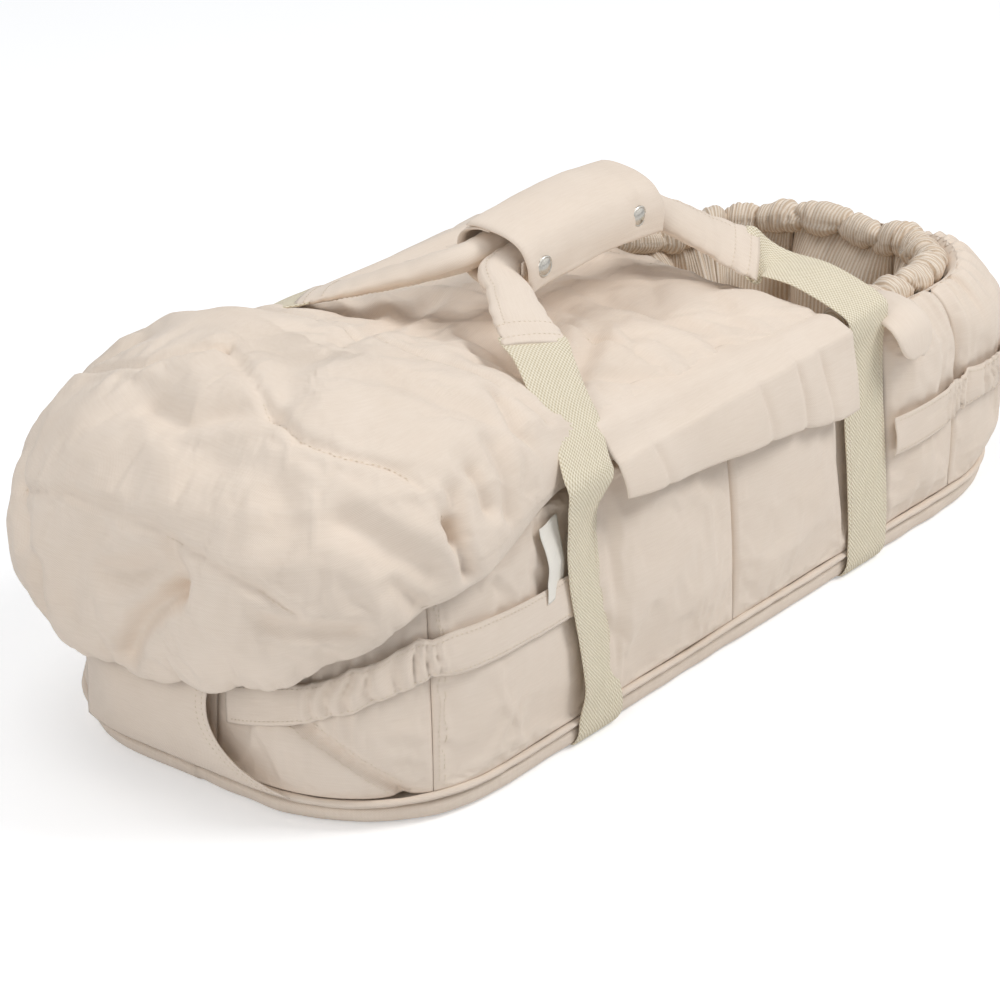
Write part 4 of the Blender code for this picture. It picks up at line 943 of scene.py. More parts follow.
under_flap = smoothstep(-0.225, -0.200, x) * smoothstep(0.60, 0.45, grid_v)
relief = (sink - swell - ridge) * (1 - under_flap) + gathers
pinned = np.maximum(pinned, under_flap)
kept, cover_faces = weld(cover_points, quads(len(stations), len(rows_v)))
unique_points, relief, pinned = cover_points[kept], relief[kept, None], pinned[kept]
normals = point_normals(unique_points, cover_faces)
if normals[np.argmax(unique_points[:, 2]), 2] < 0:
    cover_faces = cover_faces[:, ::-1]
    normals = -normals
# All lines of the foot end meet at the pole, where the spine starts: there the cloth is held level
to_pole = np.linalg.norm(unique_points - (SPINE_FOOT_X, 0, SPINE_Z[0]), axis=1)[:, None]
normals = unit(normals + np.array([-0.1, 0, 3.0]) * np.exp(-(to_pole / 0.016) ** 2))
pinned = np.maximum(pinned, np.exp(-(to_pole[:, 0] / 0.020) ** 2))
cover_points = unique_points - normals * relief
print("cover points", len(cover_points))

# %% [markdown]
# The cloth swells between the seams, and then gets its thickness: a second skin behind the first,
# and a strip of faces that closes the hem and the head edge.

# %% Cover
def open_edges(faces):
    """Directed edges that only one face has, found by looking for each edge's reverse."""
    edges = np.concatenate([faces[:, [k, (k + 1) % 4]] for k in range(4)])
    edges = edges[edges[:, 0] != edges[:, 1]]
    size = edges.max() + 1
    return edges[~np.isin(edges[:, 0] * size + edges[:, 1], edges[:, 1] * size + edges[:, 0])]


def thicken(name, points, faces, thick, uv, material, body="cot"):
    """A closed shell: the mesh, a skin moved back by thick, and a strip round its open edges. Some of
    its faces are triangles, so the faces are given one by one."""
    count = len(points)
    back_points = points - point_normals(points, faces) * thick
    edges = open_edges(faces)
    strip = np.stack([edges[:, 1], edges[:, 0], edges[:, 0] + count, edges[:, 1] + count], -1)
    everything = np.concatenate([faces, faces[:, ::-1] + count, strip])
    mesh = bpy.data.meshes.new(name)
    mesh.from_pydata(np.concatenate([points, back_points]), [], polygons(everything))
    layer = mesh.uv_layers.new(name="cloth")
    loops = np.empty(len(mesh.loops), np.int32)
    mesh.loops.foreach_get("vertex_index", loops)
    layer.data.foreach_set("uv", np.concatenate([uv, uv])[loops].astype(np.float32).ravel())
    return placed(name, mesh, material, body)


cover_points = inflate([(cover_points, cover_faces, pinned)], pressure=2.0, slack=0.03, cap=0.006)[0]
# Near the pole every point takes the mean shift of a ring round it, so that no dimple is left
shift = cover_points - unique_points
at_ring = (to_pole[:, 0] > 0.016) & (to_pole[:, 0] < 0.022)
cover_points = cover_points + smoothstep(0.018, 0.008, to_pole) * (shift[at_ring].mean(0) - shift)
cover_uv = np.stack([grid_s, grid_v * 0.24], -1)[kept]
cover = thicken("padded_cover", cover_points, cover_faces, COVER_THICKNESS, cover_uv, CANVAS)
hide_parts("cover")

# %% [markdown]
# The lining is striped cotton. Inside, it forms soft pillows between seams, and its stripes stand
# upright. Each pillow is a thin padded sheet in front of its wall, gathered where the casing draws it in.

# %% Lining
LINING_GAP = 0.0022
LINING_FOOT = 0.0185


def lining_grid(s0, s1, at_head):
    """Grid of a pillow from the casing or the wall's top down beside the mattress to the base."""
    rows = max(12, round((s1 - s0) / 0.0036))
    s = np.linspace(s0 + 0.0004, s1 - 0.0004, rows)[:, None]
    u = np.linspace(0, 1, rows)[:, None]
    drop = np.linspace(0, 1, 52)[None]
    full = np.sqrt(smoothstep(0, 0.3, u) * smoothstep(0, 0.3, 1 - u))
    if at_head:
        rim_depth, rim_z, _ = (value[:, None] for value in rim_line(s[:, 0]))
        z = rim_z - 0.002 + (LINING_FOOT - rim_z + 0.002) * drop
        lip = rim_depth - RING_RADIUS - 0.003
        knots = [0.0, 0.10, 0.25, 0.45, 0.68, 1.0]
        values = np.concatenate([lip + 0.011, lip + 0.011 + 0.014 * full, lip + 0.008 + 0.032 * full,
                                 lip + 0.007 + 0.034 * full, 0.026 + 0.026 * full, 0.018 + 0.002 * full], 1)
        depth = averaged(np.stack([np.interp(drop[0], knots, row) for row in values]), 4)
        gathered = 0.0050 * np.exp(-drop / 0.16) * pleat_wave(s, 0.0105, 41)
        gathered = gathered + 0.0040 * np.exp(-drop / 0.35) * pleat_wave(s, 0.024, 42)
        depth = depth - gathered
    else:
        z = 0.183 + (LINING_FOOT - 0.183) * drop
        t = np.clip((z - WALL_FOOT) / (RIM_HEIGHT - WALL_FOOT), 0, 1)
        depth = WALL_LEAN * t + WALL_THICKNESS + LINING_GAP + 0.010 * full * np.sin(math.pi * t) ** 0.7
        depth = depth + 0.004 * full * np.sin(math.pi * drop) + 0.004 * drop ** 6
    depth = depth + 0.0012 * soft_noise(s + 0 * z, z + 0 * s, 0.03, 43)
    return wall_points(np.broadcast_to(s, depth.shape), depth, np.broadcast_to(z, depth.shape))


# The lining's seams are its own, apart from the middle one and the one at the head strap
LINING_SEAM_S, HEAD_CORNER_S, HEAD_END_HALF = side_s(-0.165), CORNER_SEAM_HEAD + 0.02, 0.046
lining_spans = {
    "side_a": (CORNER_SEAM_FOOT, LINING_SEAM_S, False),
    "side_b": (LINING_SEAM_S, MIDDLE_SEAM_S, False),
    "side_c": (MIDDLE_SEAM_S, HEAD_STRAP_S, False),
    "foot_corner": (CORNER_END_FOOT, CORNER_SEAM_FOOT, False),
    "head_side": (HEAD_STRAP_S, HEAD_CORNER_S, True),
    "head_corner": (HEAD_CORNER_S, HEAD_S - HEAD_END_HALF, True),
}
pillows = {f"lining_{label}_near": span for label, span in lining_spans.items()}
for label, (a, b, at_head) in lining_spans.items():
    pillows[f"lining_{label}_far"] = (PERIMETER - b, PERIMETER - a, at_head)
pillows["lining_head_end"] = (HEAD_S - HEAD_END_HALF, HEAD_S + HEAD_END_HALF, True)
pillows["lining_foot_end"] = (-CORNER_END_FOOT, CORNER_END_FOOT, False)
for label, span in pillows.items():
    pillow = cloth(label, lining_grid(*span)[:, ::-1], 0.0018, RIBBED)
print(len(pillows), "lining pillows")

# %% [markdown]
# The casing round the head opening is the same striped cloth, gathered on elastic. Along the tube the
# radius swells and falls in uneven pleats. Their creases wander with the angle, as bunched cloth does.

# %% Gathered casing
CASING_X = 0.140
casing_s = np.linspace(side_s(CASING_X), PERIMETER - side_s(CASING_X), 760)[:, None]
around = (np.arange(40) * TAU / 40)[None]
slide = 0.0050 * np.sin(around + 3 * soft_noise(casing_s, casing_s * 0, 0.03, 50)) + 0 * casing_s
tight = pleat_wave(casing_s + slide, 0.034, 51) ** 1.6
crease = pleat_wave(casing_s + 0.6 * slide, 0.0092, 52)
size = 1.22 + 0.20 * soft_noise(casing_s + slide, around * 0.012, 0.026, 53) - 0.62 * tight
size = size - crease * (0.10 + 0.16 * np.sqrt(tight))
size = size + 0.05 * soft_noise(casing_s - slide, around * 0.02, 0.008, 55)
fade = smoothstep(0, 0.02, casing_s - casing_s[0]) * smoothstep(0, 0.02, casing_s[-1] - casing_s)
size = size * (0.35 + 0.65 * fade)
rim_depth, rim_z, _ = (value[:, None] for value in rim_line(casing_s[:, 0]))
sway = 0.0040 * soft_noise(casing_s, casing_s * 0, 0.036, 54)
depth = rim_depth + sway + RING_RADIUS * size * np.cos(around) * 1.05
height = rim_z + 0.004 - 0.6 * sway + RING_RADIUS * size * np.sin(around)
casing = tube("gathered_casing", wall_points(np.broadcast_to(casing_s, depth.shape), depth, height), RIBBED,
              replaces=["gathered_rim"])

# %% [markdown]
# The mattress is a flat quilted pad: crowned, drawn in at its edge and along four sewn channels. It lies
# on a board of grey card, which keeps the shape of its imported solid.

# %% Mattress and board
u, v = np.meshgrid(np.linspace(-1, 1, 160), np.linspace(-1, 1, 61), indexing="ij")
x = 0.344 * u * (1 - 0.08 * v ** 4)
y = 0.118 * v * (1 - 0.22 * u ** 8)
crown = np.sqrt(np.clip((1 - u ** 6) * (1 - v ** 6), 0, 1))
pinch = sum(np.exp(-((x - line) / 0.010) ** 2) for line in np.linspace(-0.27, 0.27, 4))
low = BASE_TOP + 0.004 + 0.0009
top = low + 0.010 + 0.022 * crown * (1 - 0.35 * pinch) + 0.0008 * soft_noise(x, y, 0.03, 61) * crown
pad_points = np.stack([np.stack([x, y, height], -1) for height in (top, np.full_like(x, low))])
pad_uv = np.stack([y.ravel(), x.ravel()], -1)
mattress = build("quilted_mattress", pad_points.reshape(-1, 3), two_skins(*u.shape),
                 np.concatenate([pad_uv, pad_uv]), RIBBED)
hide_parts("mattress")
board_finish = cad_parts["base_board"].data.materials
board_finish.clear()
board_finish.append(BOARD)

# %% [markdown]
# Elastic waist bands are sewn round both ends. Their edges are stitched to the wall and their middle
# stands off. At the rounded corners the elastic draws them into short pleats.

# %% Waist bands
def waist_band(name, place, start, end, side):
    """A strip that lies on the finished wall, gathered where the corner starts and ends."""
    count = round((end - start) / 0.0022)
    s = np.linspace(start, end, count)[:, None]
    v = np.linspace(0, 1, 19)[None]
    low = band_low(s)
    corner = smoothstep(0.080, 0.100, s) * smoothstep(0.192, 0.170, s)
    corner = corner + smoothstep(side_s(0.215), side_s(0.26), s) * smoothstep(HEAD_S, HEAD_S - 0.02, s)
    slant = s + 0.004 * np.sin(v * math.pi) + 0.003 * soft_noise(s, v * 0.05, 0.02, 70)
    pleat = corner * pleat_wave(slant, 0.0105, 71 + (side > 0))
    middle = np.sin(math.pi * v) ** 0.5
    z = low + 0.030 * v + 0.0024 * corner * (soft_noise(s, s * 0, 0.011, 73) + 0 * v) * np.cos(math.pi * v)
    if side > 0:
        s = PERIMETER - s
    s = np.broadcast_to(s, z.shape)
    depth = wall_depth(s, z) - 0.0028 - 0.0012 * middle - 0.0030 * corner * middle
    depth = depth + 0.0056 * pleat * (0.25 + 0.75 * middle)
    points = wall_points(s, depth, z)
    points = points if side < 0 else points[::-1]
    return cloth(f"band_{place}_{name}", points, 0.0020, CANVAS,
                 replaces=[f"waist_band_{place}_{name}"])


for side, name in ((-1, "near"), (1, "far")):
    band = waist_band(name, "foot", 0.031 if side < 0 else 0.098, side_s(-0.1895), side)
    band = waist_band(name, "head", side_s(0.175), HEAD_S - 0.0003, side)

# %% [markdown]
# A flat pocket lies across the foot end. Three of its sides are sewn down, and the near edge is open: it
# stands away from the wall and curves back towards the seam at the bottom.

# %% Foot pocket
u, v = np.meshgrid(np.linspace(0, 1, 70), np.linspace(0, 1, 36), indexing="ij")
mouth = 0.023 + 0.060 * (1 - v) ** 3
pocket_s = -0.094 + (mouth + 0.094) * u
pocket_z = 0.0235 + 0.070 * v
stand_off = 0.0102 + 0.0105 * np.sin(math.pi * v) ** 0.7 * smoothstep(0.0, 0.35, u) * (1 - 0.3 * u ** 3)
stand_off = stand_off + 0.0014 * soft_noise(pocket_s, pocket_z, 0.026, 75) * smoothstep(0, 0.2, v)
pocket = cloth("pocket", wall_points(pocket_s, -stand_off, pocket_z), 0.0022, CANVAS,
               replaces=["foot_pocket"])

# %% [markdown]
# Between the straps the cover hangs outside the wall as a flap. It starts on the cover, bends over the
# wall's edge and ends in a topstitched hem.

# %% Cover flaps
FLAP_X0 = STRAP_X["foot"] + STRAP_GROOVE - 0.008
FLAP_X1 = STRAP_X["head"] - STRAP_GROOVE - 0.002
FLAP_TURN, EDGE_Y, EDGE_Z = 0.42, 0.1665, 0.1975
# A pleat: its place along X, its width and its depth
FLAP_PLEATS = [(0.012, 0.0050, 0.0034), (0.056, 0.0045, 0.0042), (0.083, 0.0040, 0.0034),
               (-0.108, 0.0050, 0.0036)]
for side, name in ((-1, "near"), (1, "far")):
    x, v = np.meshgrid(np.linspace(FLAP_X0, FLAP_X1, 120), np.linspace(0, 1, 46), indexing="ij")
    along = (x - FLAP_X0) / (FLAP_X1 - FLAP_X0)
    hem_z = 0.175 - 0.035 * along - 0.001 * np.sin(along * 9)
    down = np.clip((v - FLAP_TURN) / (1 - FLAP_TURN), 0, 1)
    over = np.clip(v / FLAP_TURN, 0, 1)
    on_cover = cover_surface(side_s(x.ravel()), 0.62 - 0.32 * over.ravel()).reshape(*x.shape, 3)
    tuck_under = -0.0035 + 0.0062 * smoothstep(0.0, 0.55, over)
    turn = smoothstep(0.75, 1.0, over)
    y = -on_cover[..., 1] + tuck_under * 0.3 * over
    z = on_cover[..., 2] + tuck_under
    y = np.where(v < FLAP_TURN, y + (EDGE_Y - y) * turn, EDGE_Y + 0.009 * np.sin(down * math.pi / 2))
    z = np.where(v < FLAP_TURN, z + (EDGE_Z - z) * turn, EDGE_Z + (hem_z - EDGE_Z) * down)
    y = y + 0.0022 * np.sin(along * 5 * math.pi) * down
    for centre, width, deep in FLAP_PLEATS:
        shifted = centre if side < 0 else -0.02 - centre
        pleat = deep * np.exp(-((x - shifted - 0.006 * down) / width) ** 2)
        y = y - pleat * smoothstep(0.25, 0.6, v) * (1 - 0.4 * down)
    y = y + 0.0012 * soft_noise(x, z, 0.03, 77) * smoothstep(0.1, 0.5, v)
    flap_points = np.stack([x, side * y, z], -1)
    if side > 0:
        flap_points = flap_points[::-1]
    flap = cloth(f"flap_{name}", flap_points, 0.0024, CANVAS, body=None,
                 replaces=[f"cover_flap_{name}"])
    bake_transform(flap)

# %% [markdown]
# A rounded tab of canvas crosses the casing beside each head strap and folds down outside.

# %% Tabs
TAB_ROOT, TAB_HALF = (0.187, 0.131, 0.1905), 0.021
tab_out = TAB_ROOT[1] + np.array([0, .014, .028, .040, .0465, .0490, .0500, .0505])
tab_up = TAB_ROOT[2] + np.array([0, .0015, 0, -.005, -.012, -.020, -.027, -.031])
tab_half = TAB_HALF * np.array([1, 1, 1, 1, 0.98, 0.86, 0.60, 0.22])
tab_line = curve_through(np.stack([tab_out, tab_up, tab_half], 1), 46)
for side, name in ((-1, "near"), (1, "far")):
    across = np.linspace(-1, 1, 23)[None]
    x = TAB_ROOT[0] + across * tab_line[:, 2:]
    cup = 0.0016 * across ** 2
    y = side * (tab_line[:, :1] - cup * 0.6) + 0 * x
    z = tab_line[:, 1:2] - cup + 0.0006 * soft_noise(x, y, 0.012, 79)
    tab_points = np.stack([x, y, z], -1)
    if side < 0:
        tab_points = tab_points[:, ::-1]
    tab = cloth(f"folded_tab_{name}", tab_points, 0.0024, CANVAS, body=f"rim_tab_{name}",
                replaces=[f"tab_{name}"])

# %% [markdown]
# The care label is a folded strip of satin beside the near foot strap. It is left bare.

# %% Care label
LABEL_FREE_X, LABEL_SEWN_X, LABEL_LOW, LABEL_TOP = -0.2245, -0.199, 0.125, 0.178
x, z = np.meshgrid(np.linspace(LABEL_FREE_X, LABEL_SEWN_X, 18), np.linspace(LABEL_LOW, LABEL_TOP, 30),
                   indexing="ij")
rise = z - LABEL_LOW
lift = smoothstep(LABEL_SEWN_X, LABEL_FREE_X, x)
y = wall_depth(side_s(x), z) - HALF_WIDTH - 0.0014 - 0.0052 * lift - 0.0012 * lift * np.sin(rise * 90)
label = cloth("satin_label", np.stack([x + 0.0012 * np.sin(rise * 60), y, z], -1), 0.0006, SATIN,
              replaces=["care_label"])

# %% [markdown]
# Each handle is two legs of webbing and a padded sleeve between them. The webbing is a flat ribbon
# that comes up the wall, bends over the edge and lies along the cover. A ribbon or a sleeve is an
# ellipse carried along a path; the width is kept square to the path.

# %% Ribbons and sleeves
HINGE_Y, HINGE_Z = 0.1605, 0.2005
GRIP_RADIUS = 0.0108


def frames(path, wide):
    """Unit tangent, width and thickness directions at each point of a path."""
    tangent = unit(np.gradient(path, axis=0))
    wide = np.broadcast_to(np.asarray(wide, float), path.shape)
    wide = unit(wide - (wide * tangent).sum(1, keepdims=True) * tangent)
    return tangent, wide, np.cross(tangent, wide)


def untwisted(path, wide, step):
    """Width and thickness directions that turn with the path but not round it. The small angle that
    is left over at the far end is spread over the round middle of the sleeve."""
    tangent, start, _ = frames(path, wide)
    across = [start[0]]
    for direction in tangent[1:]:
        carried = across[-1] - (across[-1] @ direction) * direction
        across.append(carried / np.linalg.norm(carried))
    across = np.array(across)
    through = np.cross(tangent, across)
    goal = start[-1]
    miss = math.atan2(goal @ through[-1], goal @ across[-1])
    miss = (miss + math.pi / 2) % math.pi - math.pi / 2
    twist = (miss * smoothstep(0.2, 0.8, step))[:, None]
    return (across * np.cos(twist) + through * np.sin(twist),
            through * np.cos(twist) - across * np.sin(twist))


def ribbon(path, wide, half_width, half_thick, sides=26):
    """Rings of a flat ribbon: a squared ellipse, cos^0.35 across and sin^0.6 through."""
    _, across, through = frames(path, wide)
    angle = (np.arange(sides) + 0.5) * TAU / sides
    c = np.sign(np.cos(angle)) * np.abs(np.cos(angle)) ** 0.35
    s = np.sign(np.sin(angle)) * np.abs(np.sin(angle)) ** 0.6
    half_width = np.broadcast_to(half_width, len(path))[:, None, None]
    half_thick = np.broadcast_to(half_thick, len(path))[:, None, None]
    return (path[:, None] + c[None, :, None] * half_width * across[:, None]
            + s[None, :, None] * half_thick * through[:, None])


def resample(path, step):
    """A path read at even steps of its length."""
    length = np.concatenate([[0], np.cumsum(np.linalg.norm(np.diff(path, axis=0), axis=1))])
    at = np.linspace(0, length[-1], max(8, round(length[-1] / step)))
    return np.stack([np.interp(at, length, path[:, k]) for k in range(3)], -1)


NEAR_GRIP = [(-0.138, -0.090, 0.2585), (-0.122, -0.064, 0.266), (-0.104, -0.040, 0.272),
             (-0.086, -0.0204, 0.2775), (-0.010, -0.0195, 0.2805), (0.066, -0.0204, 0.2735),
             (0.088, -0.032, 0.261), (0.118, -0.053, 0.239), (0.139, -0.073, 0.224)]
FAR_GRIP = [(-0.152, 0.100, 0.2460), (-0.138, 0.068, 0.258), (-0.114, 0.028, 0.273),
            (-0.086, 0.0040, 0.283), (-0.010, 0.0035, 0.287), (0.066, 0.0040, 0.280),
            (0.090, 0.022, 0.266), (0.120, 0.048, 0.245), (0.141, 0.073, 0.226)]
GRIP_HALF_WIDTH = [0.0250, 0.0195, 0.0142, GRIP_RADIUS, GRIP_RADIUS, GRIP_RADIUS, 0.0142, 0.0195, 0.0250]
GRIP_HALF_THICK = [0.0034, 0.0068, 0.0095, GRIP_RADIUS, GRIP_RADIUS, GRIP_RADIUS, 0.0095, 0.0068, 0.0034]
HANDLES = ((-1, "near", NEAR_GRIP), (1, "far", FAR_GRIP))

# %% [markdown]
# The wall part and the free part of a webbing leg are one ribbon that bends over the wall's edge. The band
# under the base is apart.

# %% Webbing
STRAP_LEAN = 0.012
STRAP_TURN = 0.25


def laid(points, place, side):
    """Points of a strap where it lies on the wall. The foot strap leans to the foot as it rises, and
    the stuffing of the foot channel lifts one edge of it, so it turns about its middle."""
    if place == "head":
        return points
    x, z = points[..., 0], points[..., 2]
    turn = STRAP_TURN * smoothstep(0.016, 0.050, z) * smoothstep(0.196, 0.160, z)
    off = x - STRAP_X["foot"]
    lean = STRAP_LEAN * smoothstep(0.028, 0.150, z)
    moved = points.copy()
    moved[..., 0] = x - lean - off * (1 - np.cos(turn))
    moved[..., 1] -= side * turn * off
    return moved


for side, name, grip in HANDLES:
    for place, end, inner in (("foot", grip[0], grip[1]), ("head", grip[-1], grip[-2])):
        x = STRAP_X[place]
        end, inner = np.array(end), np.array(inner)
        away = (end - inner) / np.linalg.norm(end - inner)
        z = np.array([0.0050, 0.012, 0.024, 0.045, 0.075, 0.105, 0.135, 0.160, 0.178])
        t = np.clip((z - WALL_FOOT) / (RIM_HEIGHT - WALL_FOOT), 0, 1)
        top_out = 0.0095 if place == "foot" else 0.0045
        y = HALF_WIDTH - WALL_LEAN * t ** 1.6 + 0.0045 + smoothstep(0.150, 0.190, z) * top_out
        y[0] = HALF_WIDTH + 0.0016
        wall_part = np.stack([np.full(len(z), x), side * y, z], -1)
        bend = np.array([[x, side * (HINGE_Y + top_out - 0.0030), 0.1935],
                         [x, side * (HINGE_Y + top_out - 0.0085), HINGE_Z + 0.0045]])
        start = end - away * 0.010
        middle = (end + bend[1]) / 2 + np.array([0.25 * (x - end[0]), side * 0.002, 0.0035])
        under = np.array([[x, side * 0.1560, 0.0014], [x, side * 0.1620, 0.0022]])
        line = np.concatenate([under, wall_part, bend, [middle, end + away * 0.012, start]])
        path = resample(curve_through(line, 220), 0.0030)
        slack = 0.0010 * soft_noise(path[:, 2], path[:, 1], 0.04, 90)[:, None] * np.array([1, 0, 0])
        rings = ribbon(path + slack, (1, 0, 0), WEBBING_WIDTH / 2, WEBBING_THICKNESS / 2 * 1.15)
        if place == "foot":
            free = smoothstep(0.200, 0.226, rings[..., 2:])
            rings = laid(rings, place, side) * (1 - free) + rings * free
        strap = tube(f"strap_{place}_{name}", rings, WEBBING, body=None,
                     replaces=[f"webbing_{place}_{name}", f"handle_webbing_{place}_{name}"])
        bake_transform(strap)
for place, x in STRAP_X.items():
    path = np.stack([np.full(90, x), np.linspace(-0.159, 0.159, 90), np.full(90, 0.0011)], -1)
    tube(f"base_strap_{place}", ribbon(path, (1, 0, 0), WEBBING_WIDTH / 2, 0.0010), WEBBING,
         replaces=[f"webbing_base_{place}"])

# %% [markdown]
# The sleeves are stuffed canvas. The cloth puckers where the sleeve is pulled round a bend and where
# it is sewn down over the webbing.

# %% Grips
SLEEVE_SIDES, SLEEVE_LENGTH = 36, 0.35
SLEEVES = {}
for side, name, grip in HANDLES:
    path = resample(curve_through(grip, 120), 0.0026)
    step = np.linspace(0, 1, len(path))
    knots = np.linspace(0, 1, len(grip))
    half_width = np.interp(step, knots, GRIP_HALF_WIDTH)
    half_thick = np.interp(step, knots, GRIP_HALF_THICK)
    across, through = untwisted(path, (1.0, 0, 0), step)
    angle = np.arange(SLEEVE_SIDES) * TAU / SLEEVE_SIDES
    ends = np.exp(-np.minimum(step, 1 - step) / 0.06)[:, None]
    along = step[:, None] * SLEEVE_LENGTH
    pucker = 1 - (0.05 + 0.10 * ends) * pleat_wave(along + 0.004 * np.sin(2 * angle), 0.013, 95)
    pucker = pucker + 0.05 * soft_noise(along, angle * 0.012, 0.014, 96)
    seam = 1 - 0.10 * np.exp(-((angle - TAU * 0.62) / 0.10) ** 2)
    radius = (pucker * seam)[..., None]
    wide = radius * np.cos(angle)[None, :, None] * half_width[:, None, None] * across[:, None]
    high = radius * np.sin(angle)[None, :, None] * half_thick[:, None, None] * through[:, None]
    SLEEVES[name] = path[:, None] + wide + high
    sleeve = tube(f"sleeve_{name}", SLEEVES[name], CANVAS, body=f"handle_{name}",
                  replaces=[f"grip_{name}"])

# %% [markdown]
# The wrap holds both grips. Its back leaf goes round them, and its flap comes over the top and snaps
# on from outside. Each leaf is a section carried along X, a little lower at its ends, with a thick
# turned hem and a dent round each snap.

# %% Wrap
WRAP_X = (-0.085, 0.065)
WRAP_SECTION = {
    "back": [(-0.008, 0.3035), (0.004, 0.3035), (0.0155, 0.2985), (0.0190, 0.2880), (0.0150, 0.2750),
             (0.002, 0.2664), (-0.016, 0.2640), (-0.0290, 0.2678), (-0.0344, 0.2770), (-0.0350, 0.2900)],
    "flap": [(0.0110, 0.3030), (0.0010, 0.3052), (-0.0095, 0.3052), (-0.0225, 0.3032), (-0.0340, 0.2977),
             (-0.0400, 0.2870), (-0.0409, 0.2770), (-0.0406, 0.2670)],
}
SNAP_X = {"foot": -0.070, "head": 0.036}
SNAP_Z = {"foot": 0.2800, "head": 0.2815}
FLAP_DROP, SNAP_ABOVE_EDGE, HEM_INSIDE = 0.074, 0.011, 0.006
for leaf, corners in WRAP_SECTION.items():
    section = curve_through(np.array(corners), 64 if leaf == "back" else 44)
    tangent = unit(np.gradient(section, axis=0))
    outward = np.stack([-tangent[:, 1], tangent[:, 0]], -1)
    x = np.linspace(WRAP_X[0] - 0.001, WRAP_X[1] + 0.001, 64)
    share = (x - x.mean()) / (x[-1] - x.mean())
    lift = -0.004 * share ** 2 - 0.0028 * np.clip(share, 0, 1)
    grid_x, grid_v = np.meshgrid(x, np.linspace(0, 1, len(section)), indexing="ij")
    relief = 0.0010 * soft_noise(grid_x, grid_v * 0.07, 0.018, 97)
    to_end = np.minimum(grid_x - x[0], x[-1] - grid_x)
    relief = relief - 0.0005 * np.exp(-((to_end - HEM_INSIDE) / 0.0012) ** 2)
    if leaf == "flap":
        to_edge = (1 - grid_v) * FLAP_DROP
        relief = relief - 0.0005 * np.exp(-((to_edge - HEM_INSIDE) / 0.0012) ** 2)
        rise = to_edge - SNAP_ABOVE_EDGE
        for snap_x in SNAP_X.values():
            relief = relief - 0.0016 * np.exp(-(np.hypot(grid_x - snap_x, rise) / 0.011) ** 2)
            for lean in (-0.35, 0.30):
                pull = np.exp(-((grid_x - snap_x - lean * rise) / 0.0035) ** 2) * np.exp(-rise / 0.020)
                relief = relief - 0.0014 * pull * (rise > 0)
    outward = outward if outward[0, 1] > 0 else -outward
    outer = np.concatenate([grid_x[..., None], section + (0.0015 + relief[..., None]) * outward], -1)
    outer[..., 2] += lift[:, None]
    piece = cloth(f"grip_wrap_{leaf}", outer, 0.0030, CANVAS,
                  body="handle_near" if leaf == "back" else None, replaces=[f"wrap_{leaf}"])
    if leaf == "flap":
        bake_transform(piece)
    print(leaf, "wrap leaf", round(float(lengths_along(outer, 1)[-1]) * 1000), "mm round")

# %% [markdown]
# A snap cap is a spun dome of thin nickelled steel with a rolled edge. Its profile is turned round an
# axis that points out of the flap. The stud behind it is a small plain button with a waist.

# %% Snaps
def turned(name, centre, axis, profile, body, node):
    """A profile of (radius, height) turned round an axis."""
    axis = unit(np.array(axis, float))
    side = unit(np.cross(axis, (1.0, 0, 0)))
    other = np.cross(axis, side)
    angle = np.arange(40) * TAU / 40
    profile = curve_through(np.array(profile, float), 40)
    rim = np.cos(angle)[:, None] * side + np.sin(angle)[:, None] * other
    rings = np.array(centre) + profile[:, None, :1] * rim[None] + profile[:, None, 1:] * axis
    tube(name, rings, NICKEL, body=body, replaces=[node])


CAP_PROFILE = [(0.0002, -0.0012), (0.0070, -0.0012), (0.0077, -0.0006), (0.0077, 0.0002), (0.0068, 0.0008),
               (0.0062, 0.0006), (0.0050, 0.0013), (0.0028, 0.0021), (0.0002, 0.0024)]
STUD_PROFILE = [(0.0002, -0.0008), (0.0045, -0.0008), (0.0046, -0.0002), (0.0030, 0.0001), (0.0030, 0.0004),
                (0.0036, 0.0007), (0.0002, 0.0008)]
for place, x in SNAP_X.items():
    turned(f"snap_dome_{place}", (x, -0.0441, SNAP_Z[place]), (0, -1, 0), CAP_PROFILE, "wrap_leaf",
           f"snap_cap_{place}")
    turned(f"snap_button_{place}", (x, -0.0372, SNAP_Z[place]), (0, -1, 0), STUD_PROFILE, "handle_near",
           f"snap_stud_{place}")

# %% [markdown]
# Sewing is built as thread. Each line of stitches is a path in space. It is cut into even stitches, and
# each one is laid on the nearest point of its piece and half sunk into the cloth. A stitch is a
# spindle with five sides. One object holds all the stitches of a body.

# %% Stitches
STITCH_PITCH, STITCH_LENGTH, STITCH_RADIUS = 0.0036, 0.0026, 0.00040
WEBBING_SEAM = 0.0205
spindle = np.arange(5) * TAU / 5
after = (np.arange(5) + 1) % 5
SPINDLE_FACES = np.array([[2 + a, 2 + b, 7 + b, 7 + a] for a, b in enumerate(after)]
                         + [[2 + b, 2 + a, 0, 0] for a, b in enumerate(after)]
                         + [[7 + a, 7 + b, 1, 1] for a, b in enumerate(after)])
threads = {}
trees = {}


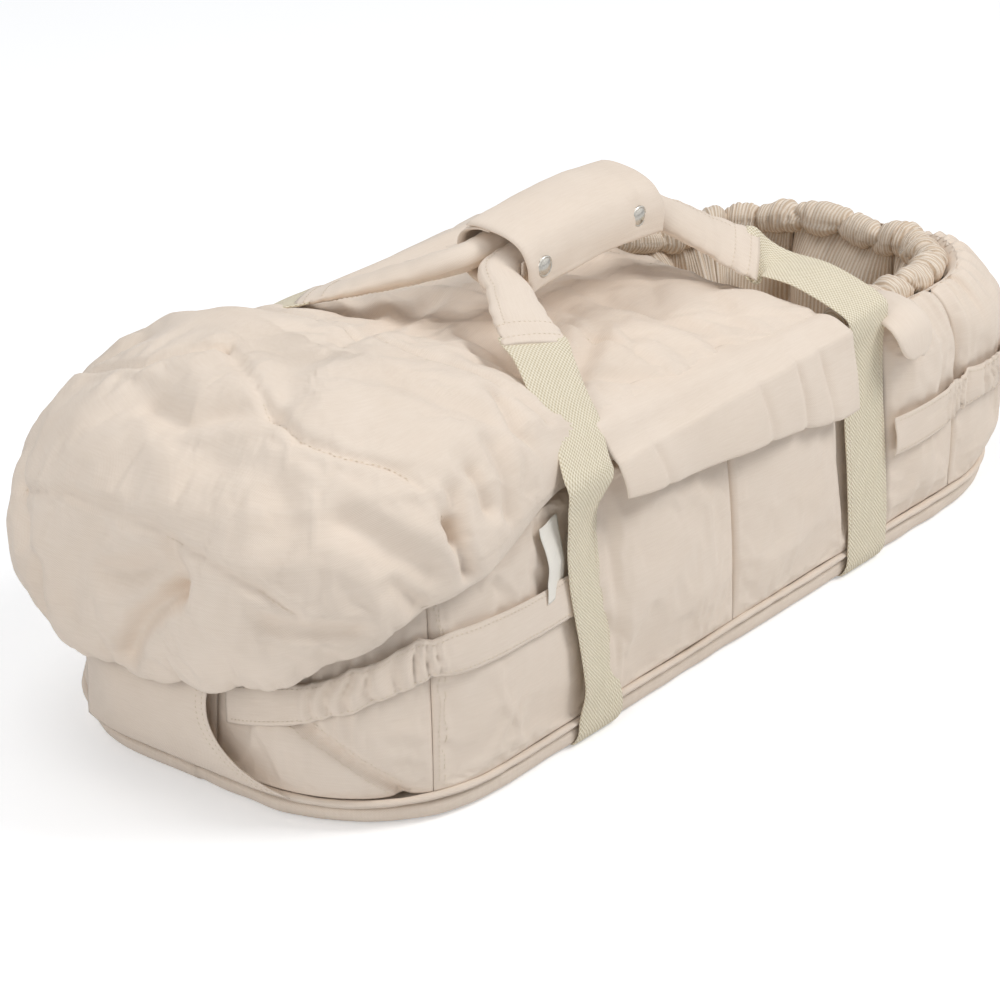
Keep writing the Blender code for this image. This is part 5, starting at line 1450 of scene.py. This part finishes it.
def sewn(name, body, path):
    """Stitches along a path on a piece, each turned along the path and lying on the surface."""
    if name not in trees:
        mesh = bpy.data.objects[name].data
        trees[name] = BVHTree.FromPolygons([vertex.co for vertex in mesh.vertices],
                                           [tuple(polygon.vertices) for polygon in mesh.polygons])
    line = resample(curve_through(np.array(path, float), 12 * len(path)), STITCH_PITCH)
    for start, end in zip(line, line[1:]):
        spot, normal, _, _ = trees[name].find_nearest(Vector((start + end) / 2))
        normal = np.array(normal)
        along = end - start
        along = along - (along @ normal) * normal
        if np.linalg.norm(along) < 0.2 * STITCH_PITCH:
            continue
        along = along / np.linalg.norm(along)
        side = np.cross(normal, along)
        ring = STITCH_RADIUS * (np.cos(spindle)[:, None] * side + np.sin(spindle)[:, None] * 0.8 * normal)
        spot = np.array(spot) + 0.0001 * normal
        reach = along * STITCH_LENGTH / 2
        tips = np.array([spot - reach, spot + reach]) - 0.0003 * normal
        stitch = np.concatenate([tips, spot - 0.55 * reach + ring, spot + 0.55 * reach + ring])
        threads.setdefault(body, []).append(stitch)


def sewn_sheet(name, body, rows, columns, row_part, column_part=slice(2, -2, 3)):
    """Lines of stitches along some rows and columns of a sheet's grid, over a part of each."""
    for column in columns:
        sewn(name, body, SHEETS[name][column_part, column])
    for row in rows:
        sewn(name, body, SHEETS[name][row, row_part])


for end in ("foot", "head"):
    for name in ("near", "far"):
        sewn_sheet(f"band_{end}_{name}", "cot", (), (2, 16), None)
sewn_sheet("pocket", "cot", (-3, -6), (-3,), slice(1, -1, 2), slice(1, -4, 3))
for name in ("near", "far"):
    sewn_sheet(f"flap_{name}", f"flap_{name}", (2, -3), (-4, -10), slice(24, -3, 2))
    sewn_sheet(f"folded_tab_{name}", f"rim_tab_{name}", (), (2, -3), None, slice(6, -4, 2))
sewn_sheet("grip_wrap_flap", "wrap_leaf", (2, -3), (-4,), slice(20, -3, 2))
sewn_sheet("grip_wrap_back", "handle_near", (2, -3), (), slice(2, -2, 3))
for name, rings in SLEEVES.items():
    for row in (3, 8, -9, -4):
        sewn(f"sleeve_{name}", f"handle_{name}", np.concatenate([rings[row, ::3], rings[row, :1]]))
    sewn(f"sleeve_{name}", f"handle_{name}", rings[8:-9:4, 22 if name == "near" else 24])
for path in SEAMS:
    sewn("padded_cover", "cot", path)
edge_v = np.linspace(0.42, 1, 16)
for sign in (1, -1):
    sewn("padded_cover", "cot", cover_surface(np.full(16, sign * side_s(COVER_HEAD_X - 0.010)), edge_v))
for name, sign in (("near", 1), ("far", -1)):
    z = np.linspace(0.028, 0.160, 12)
    for offset in (0.003, 0.009):
        sewn(f"quilted_foot_side_{name}", "cot",
             wall_points(sign * (CORNER_SEAM_FOOT + offset), -0.008, z))
    seam_s, seam_z = np.array(DIAGONAL_SEAM[1:-1]).T
    for offset in (-0.0035, 0.0035):
        sewn(f"quilted_foot_corner_{name}", "cot",
             wall_points(sign * (seam_s + 0.5 * offset), -0.008, seam_z + 0.8 * offset))
    for place, x in STRAP_X.items():
        for offset in (-WEBBING_SEAM, WEBBING_SEAM):
            edge = np.stack([np.full(12, x + offset), np.full(12, -sign * 0.172), z + 0.010], -1)
            sewn(f"strap_{place}_{name}", "cot", laid(edge, place, -sign))
for body, pieces in threads.items():
    points = np.concatenate(pieces)
    faces = np.concatenate([SPINDLE_FACES + 12 * k for k in range(len(pieces))])
    build(f"stitches_{body}", points, faces, points[:, [0, 2]], THREAD, body)
    print(body, len(pieces), "stitches")
